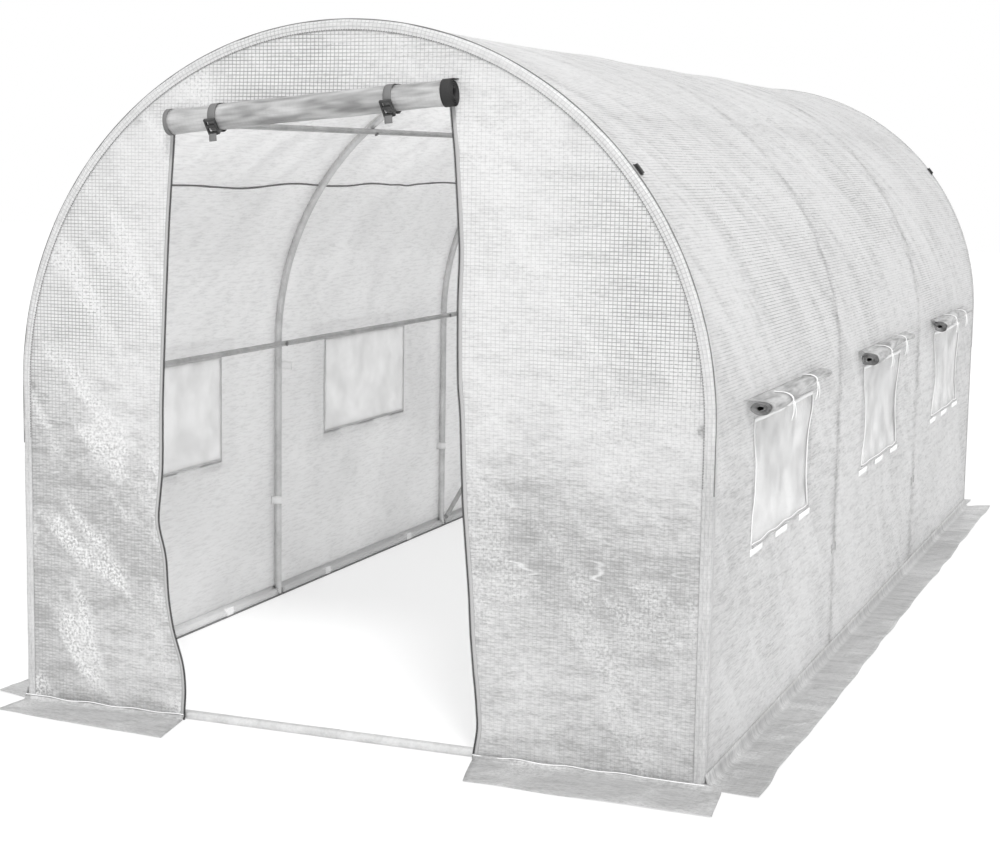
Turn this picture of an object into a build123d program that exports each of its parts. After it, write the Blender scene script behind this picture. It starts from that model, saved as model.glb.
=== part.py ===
# Walk-in tunnel greenhouse: a reinforced film cover over bent steel hoops, with a roll-up door and windows.
# Millimetres, +Z up. The door faces -Y, and the origin is on the ground at the middle of the plan.
import math
import os

from build123d import *

os.makedirs("parts", exist_ok=True)

# Tunnel
tunnel_length = 4500.0  # over the two end panels
tunnel_width = 2000.0  # over the two side walls
wall_height = 900.0  # ground to the springing of the arch
bay_count = 3  # bays between hoops, one window on each side of every bay
film = 3.0  # thickness of the cover sheet
seat = 0.3  # gap between pieces that rest against each other
overrun = 10.0  # of a cutting tool past both faces
roof_seam_angle = 34.0  # from the springing up to the seam of the roof strip, degrees

# Frame tubes and seam cords
hoop_tube = 25.0
rail_tube = 25.0
purlin_tube = 19.0
brace_tube = 19.0
brace_foot_height = 40.0
brace_head_height = 830.0
shoulder_angle = 50.0  # from the springing up to the shoulder purlins, degrees
cord_diameter = 6.0  # welted cord along each roof seam

# Door opening and its zips
door_width = 850.0
door_offset = -90.0  # of the opening's middle from the tunnel's middle
door_slope = 5.7  # of the edge over the door and the roll under it, up to the right, degrees
door_header = 228.0  # from the crown of the arch down to the top of the opening
zip_width = 14.0
zip_thickness = 3.0

# Rolled-up door flap and its straps
door_roll_core = 12.0  # radius of the innermost turn
door_roll_pitch = 5.6
door_roll_turns = 4
door_roll_gap = 16.0  # from each jamb to the roll's end
door_roll_zip_ends = (12.0, 26.0)  # left and right bands of zip tape in the roll
strap_width = 25.0
strap_thickness = 2.5
strap_places = (-262.0, 240.0)  # along the roll, from its middle
strap_tail_length = 55.0
buckle_width = 32.0
buckle_height = 46.0
buckle_thickness = 11.0
buckle_angle = -32.0  # below the level of the roll's axis, degrees

# Windows, each in the middle of its bay
window_width = 700.0
window_height = 335.0
window_sill = 545.0
window_corner = 18.0
net_thickness = 2.0
net_margin = 18.0  # overlap of the net on the wall round the opening

# Window flaps, rolled up on the right and let down on the left, with their ties and tabs
window_roll_core = 9.0
window_roll_pitch = 5.0
window_roll_turns = 4
window_flap_rise = 65.0  # from the top of the opening up to the line where the flap is sewn
window_roll_length = 880.0
window_flap_drop = 38.0  # of a let-down flap below the opening
loose_tie_length = 150.0  # of a tie that hangs over a let-down flap
tie_width = 20.0
tie_thickness = 1.5
tie_place_shares = (-0.22, 0.2)  # of the roll's length, from its middle
tab_width = 62.0
tab_height = 24.0
tab_thickness = 3.0
tab_drop = 6.0  # below the window opening
tab_place_shares = (-0.42, 0.0, 0.42)  # of the window's width, from its middle

# Ground skirts
end_skirt_depth = 180.0  # reach of the front and back skirts
side_skirt_depth = 115.0
skirt_overhang = 55.0  # of the front right skirt past the corner

# Clips, ties and toggles
clip_length = 42.0
clip_wall = 3.0
clip_low_angle = -38.0  # from the level of the rail's axis, degrees
clip_high_angle = 96.0
clip_tail = 20.0
clip_place_shares = (-0.25, 0.25)  # of a bay, from its middle
leg_tie_height = 345.0
leg_tie_width = 28.0
leg_tie_thickness = 2.0
toggle_angle = 39.0  # from the springing, degrees
toggle_length = 32.0
toggle_width = 20.0
toggle_thickness = 9.0
toggle_inset = 14.0  # from the end panel to the toggle's edge

# Derived places
arch_radius = tunnel_width / 2
film_inner = arch_radius - film
hoop_axis = film_inner - seat - hoop_tube / 2
hoop_inner = hoop_axis - hoop_tube / 2
front_y = -tunnel_length / 2
back_y = tunnel_length / 2
first_hoop_y = front_y + film + seat + hoop_tube / 2
bay = -2 * first_hoop_y / bay_count
hoop_ys = [first_hoop_y + bay * i for i in range(bay_count + 1)]
bay_ys = [first_hoop_y + bay * (i + 0.5) for i in range(bay_count)]
sheet_length = tunnel_length - 2 * film
door_left = door_offset - door_width / 2
door_right = door_offset + door_width / 2
door_rise = math.tan(math.radians(door_slope))
door_roll_length = door_width - 2 * door_roll_gap
crown_height = wall_height + arch_radius
door_height = crown_height - door_header
window_middle = window_sill + window_height / 2
window_top = window_sill + window_height
sides = {"left": -1, "right": 1}


def save(builder, name):
    builder.part.label = name
    export_step(builder.part, f"parts/{name}.step")


# Vertical plane across the tunnel at y, whose normal points to the front
def end_plane(y):
    return Plane.XZ.offset(-y)


# Middle of the sheet on the outermost turn of a roll
def roll_radius(core, pitch, turns):
    return core + pitch * turns


# Inside radius of a band that goes round a roll
def tie_bore(core, pitch, turns):
    return roll_radius(core, pitch, turns) + film / 2 + seat


# Distance from a roll's axis to the sheet that it hangs on, with room for a band between
def roll_reach(core, pitch, turns, band):
    return tie_bore(core, pitch, turns) + band + seat


# Section of a rolled sheet, wound in half turns, whose tail runs level from the top to the sheet it hangs on.
# Local x points away from that sheet, and local y is up.
def wound_sheet(core, pitch, turns, reach):
    half_turns = 2 * turns + 1
    outer = roll_radius(core, pitch, turns)
    with BuildLine() as section:
        for k in range(half_turns):
            centre = (0, 0 if k % 2 == 0 else -pitch / 2)
            radius = core + pitch / 2 * k
            start_angle = -90 if k % 2 == 0 else 90
            CenterArc(centre, radius + film / 2, start_angle, 180)
            CenterArc(centre, radius - film / 2, start_angle, 180)
        Line((0, -core - film / 2), (0, -core + film / 2))
        Polyline(
            (0, outer + film / 2),
            (seat - reach, outer + film / 2),
            (seat - reach, outer - film / 2),
            (0, outer - film / 2),
        )
    make_face(section.edges())


# Section of a band that leaves the sheet above a roll's tail, goes round the roll and ends under the tail
def wound_band(bore, thickness, reach):
    outer = bore + thickness
    start_angle, sweep_angle = 90, -300
    end_angle = math.radians(start_angle + sweep_angle)
    with BuildLine() as section:
        CenterArc((0, 0), outer, start_angle, sweep_angle)
        CenterArc((0, 0), bore, start_angle, sweep_angle)
        Line(
            (bore * math.cos(end_angle), bore * math.sin(end_angle)),
            (outer * math.cos(end_angle), outer * math.sin(end_angle)),
        )
        Polyline((0, outer), (seat - reach, outer), (seat - reach, bore), (0, bore))
    make_face(section.edges())


# Half width of the cover at a height
def half_width(z):
    return math.sqrt(arch_radius**2 - max(0, z - wall_height) ** 2)


# Height of the sloping edge over the door at x
def door_edge(x):
    return door_height + (x - door_offset) * door_rise


# Outline of a whole end panel: straight sides under a half round
def end_outline():
    with BuildLine() as section:
        arch_line = CenterArc((0, wall_height), arch_radius, 0, 180)
        Polyline(arch_line @ 1, (-arch_radius, 0), (arch_radius, 0), arch_line @ 0)
    make_face(section.edges())


# Hoops: an arch on two legs, four times along the tunnel
for number, y in enumerate(hoop_ys, start=1):
    with BuildPart() as arch:
        with BuildSketch(Plane.XY.offset(wall_height)):
            with Locations((hoop_axis, y)):
                Circle(hoop_tube / 2)
        revolve(axis=Axis((0, 0, wall_height), (0, -1, 0)), revolution_arc=180)
    save(arch, f"hoop_arch_{number}")

for side, sign in sides.items():
    with BuildPart() as legs:
        with Locations(*[(sign * hoop_axis, y, 0) for y in hoop_ys]):
            Cylinder(hoop_tube / 2, wall_height, align=(Align.CENTER, Align.CENTER, Align.MIN))
    save(legs, f"{side}_legs")

# Ground rails: one tube in each bay between the legs, and one across each end
for side, sign in sides.items():
    with BuildPart() as base_rails:
        with Locations(*[(sign * hoop_axis, y, rail_tube / 2) for y in bay_ys]):
            Cylinder(rail_tube / 2, bay - hoop_tube - 2 * seat, rotation=(90, 0, 0))
    save(base_rails, f"{side}_base_rails")

for end, y in (("front", hoop_ys[0]), ("back", hoop_ys[-1])):
    with BuildPart() as end_rail:
        with Locations((0, y, rail_tube / 2)):
            Cylinder(rail_tube / 2, 2 * (hoop_inner - seat), rotation=(0, 90, 0))
    save(end_rail, f"{end}_ground_rail")

# Purlins: inside the hoops, at the springing and at the shoulder of each side
purlin_radius = purlin_tube / 2
purlin_ring = hoop_inner - seat - purlin_radius
purlin_length = sheet_length - 2 * seat
for side, sign in sides.items():
    for level, angle in (("side", 0), ("shoulder", shoulder_angle)):
        turn = math.radians(angle)
        with BuildPart() as purlin:
            with Locations(
                (sign * purlin_ring * math.cos(turn), 0, wall_height + purlin_ring * math.sin(turn))
            ):
                Cylinder(purlin_radius, purlin_length, rotation=(90, 0, 0))
        save(purlin, f"{side}_{level}_purlin")

# Braces: in the rear bay, from the foot of the third hoop up to the back hoop
brace_x = hoop_inner - seat - brace_tube / 2
with BuildPart() as braces:
    for sign in sides.values():
        foot = Vector(sign * brace_x, hoop_ys[-2], brace_foot_height)
        head = Vector(sign * brace_x, hoop_ys[-1], brace_head_height)
        with BuildSketch(Plane(origin=foot, x_dir=(1, 0, 0), z_dir=head - foot)):
            Circle(brace_tube / 2)
        extrude(amount=(head - foot).length)
save(braces, "rear_braces")

# Seam cords: welted under each roof seam, from hoop to hoop
seam_turn = math.radians(roof_seam_angle)
cord_ring = film_inner - seat - cord_diameter / 2
cord_length = bay - hoop_tube - 2 * seat
cord_x = cord_ring * math.cos(seam_turn)
cord_z = wall_height + cord_ring * math.sin(seam_turn)
with BuildPart() as cords:
    with Locations(*[(sign * cord_x, y, cord_z) for sign in sides.values() for y in bay_ys]):
        Cylinder(cord_diameter / 2, cord_length, rotation=(90, 0, 0))
save(cords, "seam_cords")

# Seam toggles: one on the roof sheet at each end of the right-hand seam
toggle_ring = arch_radius + seat + toggle_thickness / 2
toggle_y = back_y - film - toggle_inset - toggle_width / 2
with BuildPart() as toggles:
    direction = Vector(math.cos(math.radians(toggle_angle)), 0, math.sin(math.radians(toggle_angle)))
    for y in (-toggle_y, toggle_y):
        centre = Vector(0, y, wall_height) + direction * toggle_ring
        with Locations(Plane(origin=centre, x_dir=(0, 1, 0), z_dir=direction)):
            Box(toggle_width, toggle_length, toggle_thickness)
save(toggles, "seam_toggles")

# End panels: the front one is a sheet beside each jamb and a sheet over the door, the back one is plain
for name, low, width in (
    ("front_panel_left", -arch_radius, arch_radius + door_left),
    ("front_panel_right", door_right, arch_radius - door_right),
):
    with BuildPart() as panel:
        with BuildSketch(end_plane(front_y + film)):
            end_outline()
            with Locations((low, 0)):
                Rectangle(width, crown_height, align=(Align.MIN, Align.MIN), mode=Mode.INTERSECT)
        extrude(amount=film)
    save(panel, name)

with BuildPart() as top_panel:
    with BuildSketch(end_plane(front_y + film)):
        end_outline()
        with BuildLine() as opening:
            Polyline(
                (door_left, door_edge(door_left)),
                (door_right, door_edge(door_right)),
                (door_right, crown_height),
                (door_left, crown_height),
                close=True,
            )
        make_face(opening.edges(), mode=Mode.INTERSECT)
    extrude(amount=film)
save(top_panel, "front_panel_top")

with BuildPart() as back_panel:
    with BuildSketch(end_plane(back_y)):
        end_outline()
    extrude(amount=film)
save(back_panel, "back_panel")

# Side sheets: the straight wall and the haunch of the roof in one piece, with the windows cut through
for side, sign in sides.items():
    with BuildPart() as side_sheet:
        with BuildSketch(end_plane(back_y - film)):
            with BuildLine():
                springing_angle = 0 if sign > 0 else 180
                outside = CenterArc((0, wall_height), arch_radius, springing_angle, sign * roof_seam_angle)
                inside = CenterArc((0, wall_height), film_inner, springing_angle, sign * roof_seam_angle)
                Polyline(outside @ 0, (sign * arch_radius, 0), (sign * film_inner, 0), inside @ 0)
                Line(outside @ 1, inside @ 1)
            make_face()
        extrude(amount=sheet_length)
        with BuildSketch(Plane.YZ.offset(sign * (arch_radius + overrun))):
            with Locations(*[(y, window_middle) for y in bay_ys]):
                RectangleRounded(window_width, window_height, window_corner)
        extrude(amount=-sign * (film + 2 * overrun), mode=Mode.SUBTRACT)
    save(side_sheet, f"{side}_side_sheet")

# Roof sheet: the strip over the crown, sewn to the side sheets along the two seams
with BuildPart() as roof_sheet:
    with BuildSketch(end_plane(back_y - film)):
        with BuildLine():
            crown_angle = 180 - 2 * roof_seam_angle
            outside = CenterArc((0, wall_height), arch_radius, roof_seam_angle, crown_angle)
            inside = CenterArc((0, wall_height), film_inner, roof_seam_angle, crown_angle)
            Line(outside @ 0, inside @ 0)
            Line(outside @ 1, inside @ 1)
        make_face()
    extrude(amount=sheet_length)
save(roof_sheet, "roof_sheet")

# Skirts: flaps of the cover that lie on the ground along every wall
right_front_skirt = arch_radius - door_right + skirt_overhang
skirts = {
    "left_skirt": (-arch_radius - side_skirt_depth, front_y, side_skirt_depth, tunnel_length),
    "right_skirt": (arch_radius, front_y, side_skirt_depth, tunnel_length),
    "back_skirt": (-arch_radius, back_y, tunnel_width, end_skirt_depth),
    "front_skirt_left": (-arch_radius, front_y - end_skirt_depth, arch_radius + door_left, end_skirt_depth),
    "front_skirt_right": (door_right, front_y - end_skirt_depth, right_front_skirt, end_skirt_depth),
}
for name, (x, y, width, depth) in skirts.items():
    with BuildPart() as skirt:
        with Locations((x, y, 0)):
            Box(width, depth, film, align=(Align.MIN, Align.MIN, Align.MIN))
    save(skirt, name)

# Door zips: a tape down each jamb, on the outside of the panel
with BuildPart() as zips:
    for x, side_align in ((door_left, Align.MAX), (door_right, Align.MIN)):
        with Locations((x, front_y, film)):
            Box(zip_width, zip_thickness, door_edge(x) - film, align=(side_align, Align.MAX, Align.MIN))
save(zips, "door_zips")

# Door roll: the flap wound up under the edge over the door, with bands of zip tape at its two ends
door_roll = (door_roll_core, door_roll_pitch, door_roll_turns)
door_reach = roll_reach(*door_roll, strap_thickness)
slope = math.radians(door_slope)
roll_along = Vector(math.cos(slope), 0, math.sin(slope))
roll_up = Vector(-math.sin(slope), 0, math.cos(slope))
roll_middle = Vector(door_offset, front_y - door_reach, door_height)


# Section plane of the door roll at a place along it: local x points away from the panel, the normal left
def door_plane(place):
    return Plane(origin=roll_middle + roll_along * place, x_dir=(0, -1, 0), z_dir=-roll_along)


left_band, right_band = door_roll_zip_ends
flap_right = door_roll_length / 2 - right_band
flap_length = door_roll_length - left_band - right_band
with BuildPart() as flap_roll:
    with BuildSketch(door_plane(flap_right)):
        wound_sheet(*door_roll, door_reach)
    extrude(amount=flap_length)
save(flap_roll, "door_roll")

with BuildPart() as roll_ends:
    for x, length in ((door_roll_length / 2, right_band), (flap_right - flap_length, left_band)):
        with BuildSketch(door_plane(x)):
            wound_sheet(*door_roll, door_reach)
        extrude(amount=length)
save(roll_ends, "door_roll_zip_ends")

# Door straps: webbing round the roll, closed by a buckle in front, with the spare end hanging from it
strap_bore = tie_bore(*door_roll)
buckle_ring = strap_bore + strap_thickness + seat
tilt = math.radians(buckle_angle)
buckle_out = Vector(0, -math.cos(tilt), 0) + roll_up * math.sin(tilt)
buckle_along = Vector(0, math.sin(tilt), 0) + roll_up * math.cos(tilt)
buckle_middle = roll_middle + buckle_out * (buckle_ring + buckle_thickness / 2)
tail_top = buckle_middle - buckle_along * (buckle_height / 2 + seat)
with BuildPart() as straps:
    for place in strap_places:
        with BuildSketch(door_plane(place + strap_width / 2)):
            wound_band(strap_bore, strap_thickness, door_reach)
        extrude(amount=strap_width)
        with Locations(Plane(origin=tail_top + roll_along * place, x_dir=roll_along, z_dir=buckle_along)):
            Box(
                strap_width,
                strap_thickness,
                strap_tail_length,
                align=(Align.CENTER, Align.CENTER, Align.MAX),
            )
save(straps, "door_straps")

with BuildPart() as buckles:
    for place in strap_places:
        with Locations(Plane(origin=buckle_middle + roll_along * place, x_dir=roll_along, z_dir=buckle_out)):
            Box(buckle_width, buckle_height, buckle_thickness)
    fillet(buckles.edges().filter_by(Axis((0, 0, 0), roll_along)), buckle_thickness / 4)
save(buckles, "door_buckles")

# Windows: a net sewn behind each opening, a wound flap over it, ties round the flap and tabs below
window_roll = (window_roll_core, window_roll_pitch, window_roll_turns)
window_bore = tie_bore(*window_roll)
flap_seam_z = window_top + window_flap_rise
window_roll_x = arch_radius + roll_reach(*window_roll, tie_thickness)
window_roll_z = flap_seam_z - roll_radius(*window_roll)
flap_reach = window_roll_x - half_width(flap_seam_z)
tie_reach = window_roll_x - half_width(window_roll_z + window_bore)
net_plane_x = film_inner - net_thickness


# Section plane of a window roll at y: local x points away from the wall, and the normal runs along the tunnel
def window_plane(sign, y):
    return Plane(origin=(sign * window_roll_x, y, window_roll_z), x_dir=(sign, 0, 0), z_dir=(0, -sign, 0))


for side, sign in sides.items():
    with BuildPart() as nets:
        with BuildSketch(Plane.YZ.offset(net_plane_x if sign > 0 else -film_inner)):
            with Locations(*[(y, window_middle) for y in bay_ys]):
                Rectangle(window_width + 2 * net_margin, window_height + 2 * net_margin)
        extrude(amount=net_thickness)
    save(nets, f"{side}_window_nets")

with BuildPart() as rolls:
    for y in bay_ys:
        with BuildSketch(window_plane(1, y + window_roll_length / 2)):
            wound_sheet(*window_roll, flap_reach)
        extrude(amount=window_roll_length)
save(rolls, "right_window_rolls")

# Let-down flaps: sewn to the left wall over each window, leaning out over the tabs below it
flap_foot_z = window_sill - window_flap_drop
flap_lean = tab_thickness / (flap_seam_z - window_sill + tab_drop)


# Section of a sheet that hangs outside the left wall from the flap's seam, clear of the wall by a standoff
def hanging_sheet(standoff, thickness, foot_z):
    top_x = -arch_radius - standoff
    foot_x = top_x - flap_lean * (flap_seam_z - foot_z)
    with BuildLine() as section:
        Polyline(
            (top_x, flap_seam_z),
            (foot_x, foot_z),
            (foot_x - thickness, foot_z),
            (top_x - thickness, flap_seam_z),
            close=True,
        )
    make_face(section.edges())


with BuildPart() as flaps:
    for y in bay_ys:
        with BuildSketch(end_plane(y + window_roll_length / 2)):
            hanging_sheet(seat, film, flap_foot_z)
        extrude(amount=window_roll_length)
save(flaps, "left_window_flaps")

with BuildPart() as ties:
    for y in bay_ys:
        for share in tie_place_shares:
            place = y + share * window_roll_length + tie_width / 2
            with BuildSketch(window_plane(1, place)):
                wound_band(window_bore, tie_thickness, tie_reach)
            extrude(amount=tie_width)
            with BuildSketch(end_plane(place)):
                hanging_sheet(film + 2 * seat, tie_thickness, flap_seam_z - loose_tie_length)
            extrude(amount=tie_width)
save(ties, "window_ties")

tab_middle = window_sill - tab_drop - tab_height / 2
with BuildPart() as tabs:
    for low in (-arch_radius - tab_thickness, arch_radius):
        with BuildSketch(Plane.YZ.offset(low)):
            for share in tab_place_shares:
                with Locations(*[(y + share * window_width, tab_middle) for y in bay_ys]):
                    Rectangle(tab_width, tab_height)
        extrude(amount=tab_thickness)
save(tabs, "window_tabs")

# Base clips: sprung clips that grip the ground rails from inside, with a finger tail
clip_bore = rail_tube / 2 + seat
clip_sweep = clip_high_angle - clip_low_angle
with BuildPart() as clips:
    for sign in sides.values():
        for y in bay_ys:
            for share in clip_place_shares:
                start = Plane(
                    origin=(sign * hoop_axis, y + share * bay + sign * -clip_length / 2, rail_tube / 2),
                    x_dir=(-sign, 0, 0),
                    z_dir=(0, sign, 0),
                )
                with BuildSketch(start):
                    with BuildLine():
                        grip_out = CenterArc((0, 0), clip_bore + clip_wall, clip_low_angle, clip_sweep)
                        grip_in = CenterArc((0, 0), clip_bore, clip_low_angle, clip_sweep)
                        Line(grip_out @ 0, grip_in @ 0)
                        Line(grip_out @ 1, grip_in @ 1)
                    make_face()
                    with Locations((clip_bore + clip_wall / 2, 0)):
                        Rectangle(clip_wall, clip_tail, align=(Align.CENTER, Align.MIN))
                extrude(amount=clip_length)
save(clips, "base_clips")

# Leg ties: a webbing loop round each inner leg, sewn to the wall at both ends
loop_ring = hoop_tube / 2 + seat
loop_reach = film_inner - hoop_axis - seat
with BuildPart() as leg_ties:
    for sign in sides.values():
        for y in hoop_ys[1:-1]:
            with BuildSketch(
                Plane(
                    origin=(sign * hoop_axis, y, leg_tie_height - leg_tie_width / 2),
                    x_dir=(sign, 0, 0),
                    z_dir=(0, 0, 1),
                )
            ):
                Circle(loop_ring + leg_tie_thickness)
                Rectangle(
                    loop_reach,
                    2 * (loop_ring + leg_tie_thickness),
                    align=(Align.MIN, Align.CENTER),
                )
                Circle(loop_ring, mode=Mode.SUBTRACT)
                Rectangle(tunnel_width, 2 * loop_ring, align=(Align.MIN, Align.CENTER), mode=Mode.SUBTRACT)
                with Locations((loop_reach, 0)):
                    Rectangle(
                        tunnel_width,
                        tunnel_width,
                        align=(Align.MIN, Align.CENTER),
                        mode=Mode.SUBTRACT,
                    )
            extrude(amount=leg_tie_width)
save(leg_ties, "leg_ties")
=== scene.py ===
import math

import bmesh
import bpy
import numpy as np
from mathutils import Matrix, Vector


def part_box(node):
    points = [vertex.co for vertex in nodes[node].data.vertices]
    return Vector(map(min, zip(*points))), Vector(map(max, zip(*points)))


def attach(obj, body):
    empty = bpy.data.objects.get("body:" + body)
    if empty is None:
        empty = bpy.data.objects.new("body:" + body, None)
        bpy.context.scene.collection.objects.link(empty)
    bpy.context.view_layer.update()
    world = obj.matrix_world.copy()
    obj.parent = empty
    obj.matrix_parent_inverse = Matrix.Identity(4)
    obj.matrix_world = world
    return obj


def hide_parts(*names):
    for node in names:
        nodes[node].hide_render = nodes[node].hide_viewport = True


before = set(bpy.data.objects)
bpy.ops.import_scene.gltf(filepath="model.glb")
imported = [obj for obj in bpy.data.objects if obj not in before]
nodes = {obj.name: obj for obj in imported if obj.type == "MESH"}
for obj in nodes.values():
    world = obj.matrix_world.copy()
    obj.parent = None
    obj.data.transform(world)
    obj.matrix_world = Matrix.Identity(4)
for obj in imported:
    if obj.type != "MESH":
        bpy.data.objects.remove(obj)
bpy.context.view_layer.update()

scene = bpy.context.scene
scene.view_settings.view_transform = "Standard"
scene.cycles.max_bounces = 6

# The tunnel's own sizes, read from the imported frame, in metres
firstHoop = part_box("hoop_arch_1")
hoopYs = [sum(corner.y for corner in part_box(f"hoop_arch_{n}")) / 2 for n in (1, 2, 3, 4)]
bay = hoopYs[1] - hoopYs[0]
bayYs = [y + bay / 2 for y in hoopYs[:3]]
wallHeight = firstHoop[0].z
hoopTube = firstHoop[1].y - firstHoop[0].y
hoopAxis = firstHoop[1].x - hoopTube / 2
endHoopY = hoopYs[-1]
purlinRing = (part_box("right_side_purlin")[0].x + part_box("right_side_purlin")[1].x) / 2
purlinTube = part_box("right_side_purlin")[1].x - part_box("right_side_purlin")[0].x

tunnel = {
    "film": 0.001,  # thickness of the sheet
    "rest": 0.0011,  # middle of the sheet above a hoop's tube
    "seamAngle": 34,  # of the two roof seams above the springing, degrees
    "windowWide": 0.70,
    "windowSill": 0.545,
    "windowTop": 0.88,
}
edgeRound = hoopTube / 2 + tunnel["rest"]  # the sheet's turn round an end hoop
coverRadius = hoopAxis + edgeRound
panelY = endHoopY + edgeRound
archRun = math.pi * coverRadius
coverRun = 2 * wallHeight + archRun
leftSeam = wallHeight + math.radians(tunnel["seamAngle"]) * coverRadius
rightSeam = coverRun - leftSeam


class Wire:
    # a socket that can stand in a Python expression
    def __init__(self, bench, socket):
        self.bench, self.socket = bench, socket

    def out(self, name):
        return Wire(self.bench, self.socket.node.outputs[name])

    def calc(self, operation, left, right):
        return self.bench.add("ShaderNodeMath", {"operation": operation}, {0: left, 1: right})

    def __add__(self, other):
        return self.calc("ADD", self, other)

    def __radd__(self, other):
        return self.calc("ADD", other, self)

    def __sub__(self, other):
        return self.calc("SUBTRACT", self, other)

    def __rsub__(self, other):
        return self.calc("SUBTRACT", other, self)

    def __mul__(self, other):
        return self.calc("MULTIPLY", self, other)

    def __rmul__(self, other):
        return self.calc("MULTIPLY", other, self)

    def __truediv__(self, other):
        return self.calc("DIVIDE", self, other)

    def __rtruediv__(self, other):
        return self.calc("DIVIDE", other, self)

    def __abs__(self):
        return self.calc("ABSOLUTE", self, 0.0)


class Bench:
    # a node tree under construction
    def __init__(self, tree):
        self.tree = tree
        tree.nodes.clear()

    def add(self, kind, settings=None, sockets=None, out=0):
        node = self.tree.nodes.new(kind)
        for name, value in (settings or {}).items():
            setattr(node, name, value)
        for name, value in (sockets or {}).items():
            if isinstance(value, Wire):
                self.tree.links.new(value.socket, node.inputs[name])
            else:
                node.inputs[name].default_value = value
        return Wire(self, node.outputs[out]) if len(node.outputs) else node

    def spread(self, value, low, high, toLow=0.0, toHigh=1.0):
        return self.add("ShaderNodeMapRange", {"clamp": True}, {
            0: value, 1: low, 2: high, 3: toLow, 4: toHigh})

    def blend(self, factor, first, second):
        return self.add("ShaderNodeMix", {"data_type": "RGBA"}, {0: factor, 6: first, 7: second}, 2)

    def noise(self, place, scale, detail=3.0, rough=0.5, kind="3D"):
        return self.add("ShaderNodeTexNoise", {"noise_dimensions": kind}, {
            "Vector": place, "Scale": scale, "Detail": detail, "Roughness": rough})

    def flatNoise(self, place, scale, detail, rough):
        return self.noise(place, scale, detail, rough, "2D")

    def place(self):
        return self.add("ShaderNodeTexCoord", {}, {}, "Object")

    def cloth(self):
        return self.add("ShaderNodeUVMap", {"uv_map": "film"})

    def parts(self, vector):
        return self.add("ShaderNodeSeparateXYZ", {}, {0: vector})

    def fold(self, value):
        return self.add("ShaderNodeMath", {"operation": "PINGPONG"}, {0: value, 1: 0.5})

    def larger(self, first, second):
        return self.add("ShaderNodeMath", {"operation": "MAXIMUM"}, {0: first, 1: second})

    def scaled(self, vector, scale):
        return self.add("ShaderNodeMapping", {}, {"Vector": vector, "Scale": scale})

    def slanted(self, vector, turn, scale):
        return self.add("ShaderNodeMapping", {"vector_type": "TEXTURE"}, {
            "Vector": vector, "Rotation": (0, 0, turn), "Scale": scale})

    def bump(self, strength, distance, height):
        return self.add("ShaderNodeBump", {}, {
            "Strength": strength, "Distance": distance, "Height": height})

    def surface(self, values):
        return self.add("ShaderNodeBsdfPrincipled", {}, values)

    def translucent(self, level):
        return self.add("ShaderNodeBsdfTranslucent", {}, {"Color": grey(level)})

    def mixed(self, factor, first, second):
        return self.add("ShaderNodeMixShader", {}, {0: factor, 1: first, 2: second})

    # 1 for a camera ray, direct or by way of a glossy or clear surface
    def seen(self):
        path = self.add("ShaderNodeLightPath", {}, {}, "Is Camera Ray")
        mirrored = self.larger(path, path.out("Is Glossy Ray"))
        return self.larger(mirrored, path.out("Is Transmission Ray"))

    # the block on each point, made plain mesh and given its finish
    def planted(self, points, block, rotation, finish):
        placed = self.add("GeometryNodeInstanceOnPoints", {}, {
            "Points": points, "Instance": block, "Rotation": rotation})
        solid = self.add("GeometryNodeRealizeInstances", {}, {"Geometry": placed})
        return self.add("GeometryNodeSetMaterial", {}, {"Geometry": solid, "Material": finish})


def newFinish(name):
    material = bpy.data.materials.new(name)
    material.use_nodes = True
    return material, Bench(material.node_tree)


def closeFinish(bench, shader):
    bench.add("ShaderNodeOutputMaterial", {}, {"Surface": shader})


def grey(level):
    return (level, level, level, 1.0)


filmIndex = 1.48  # of refraction


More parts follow.
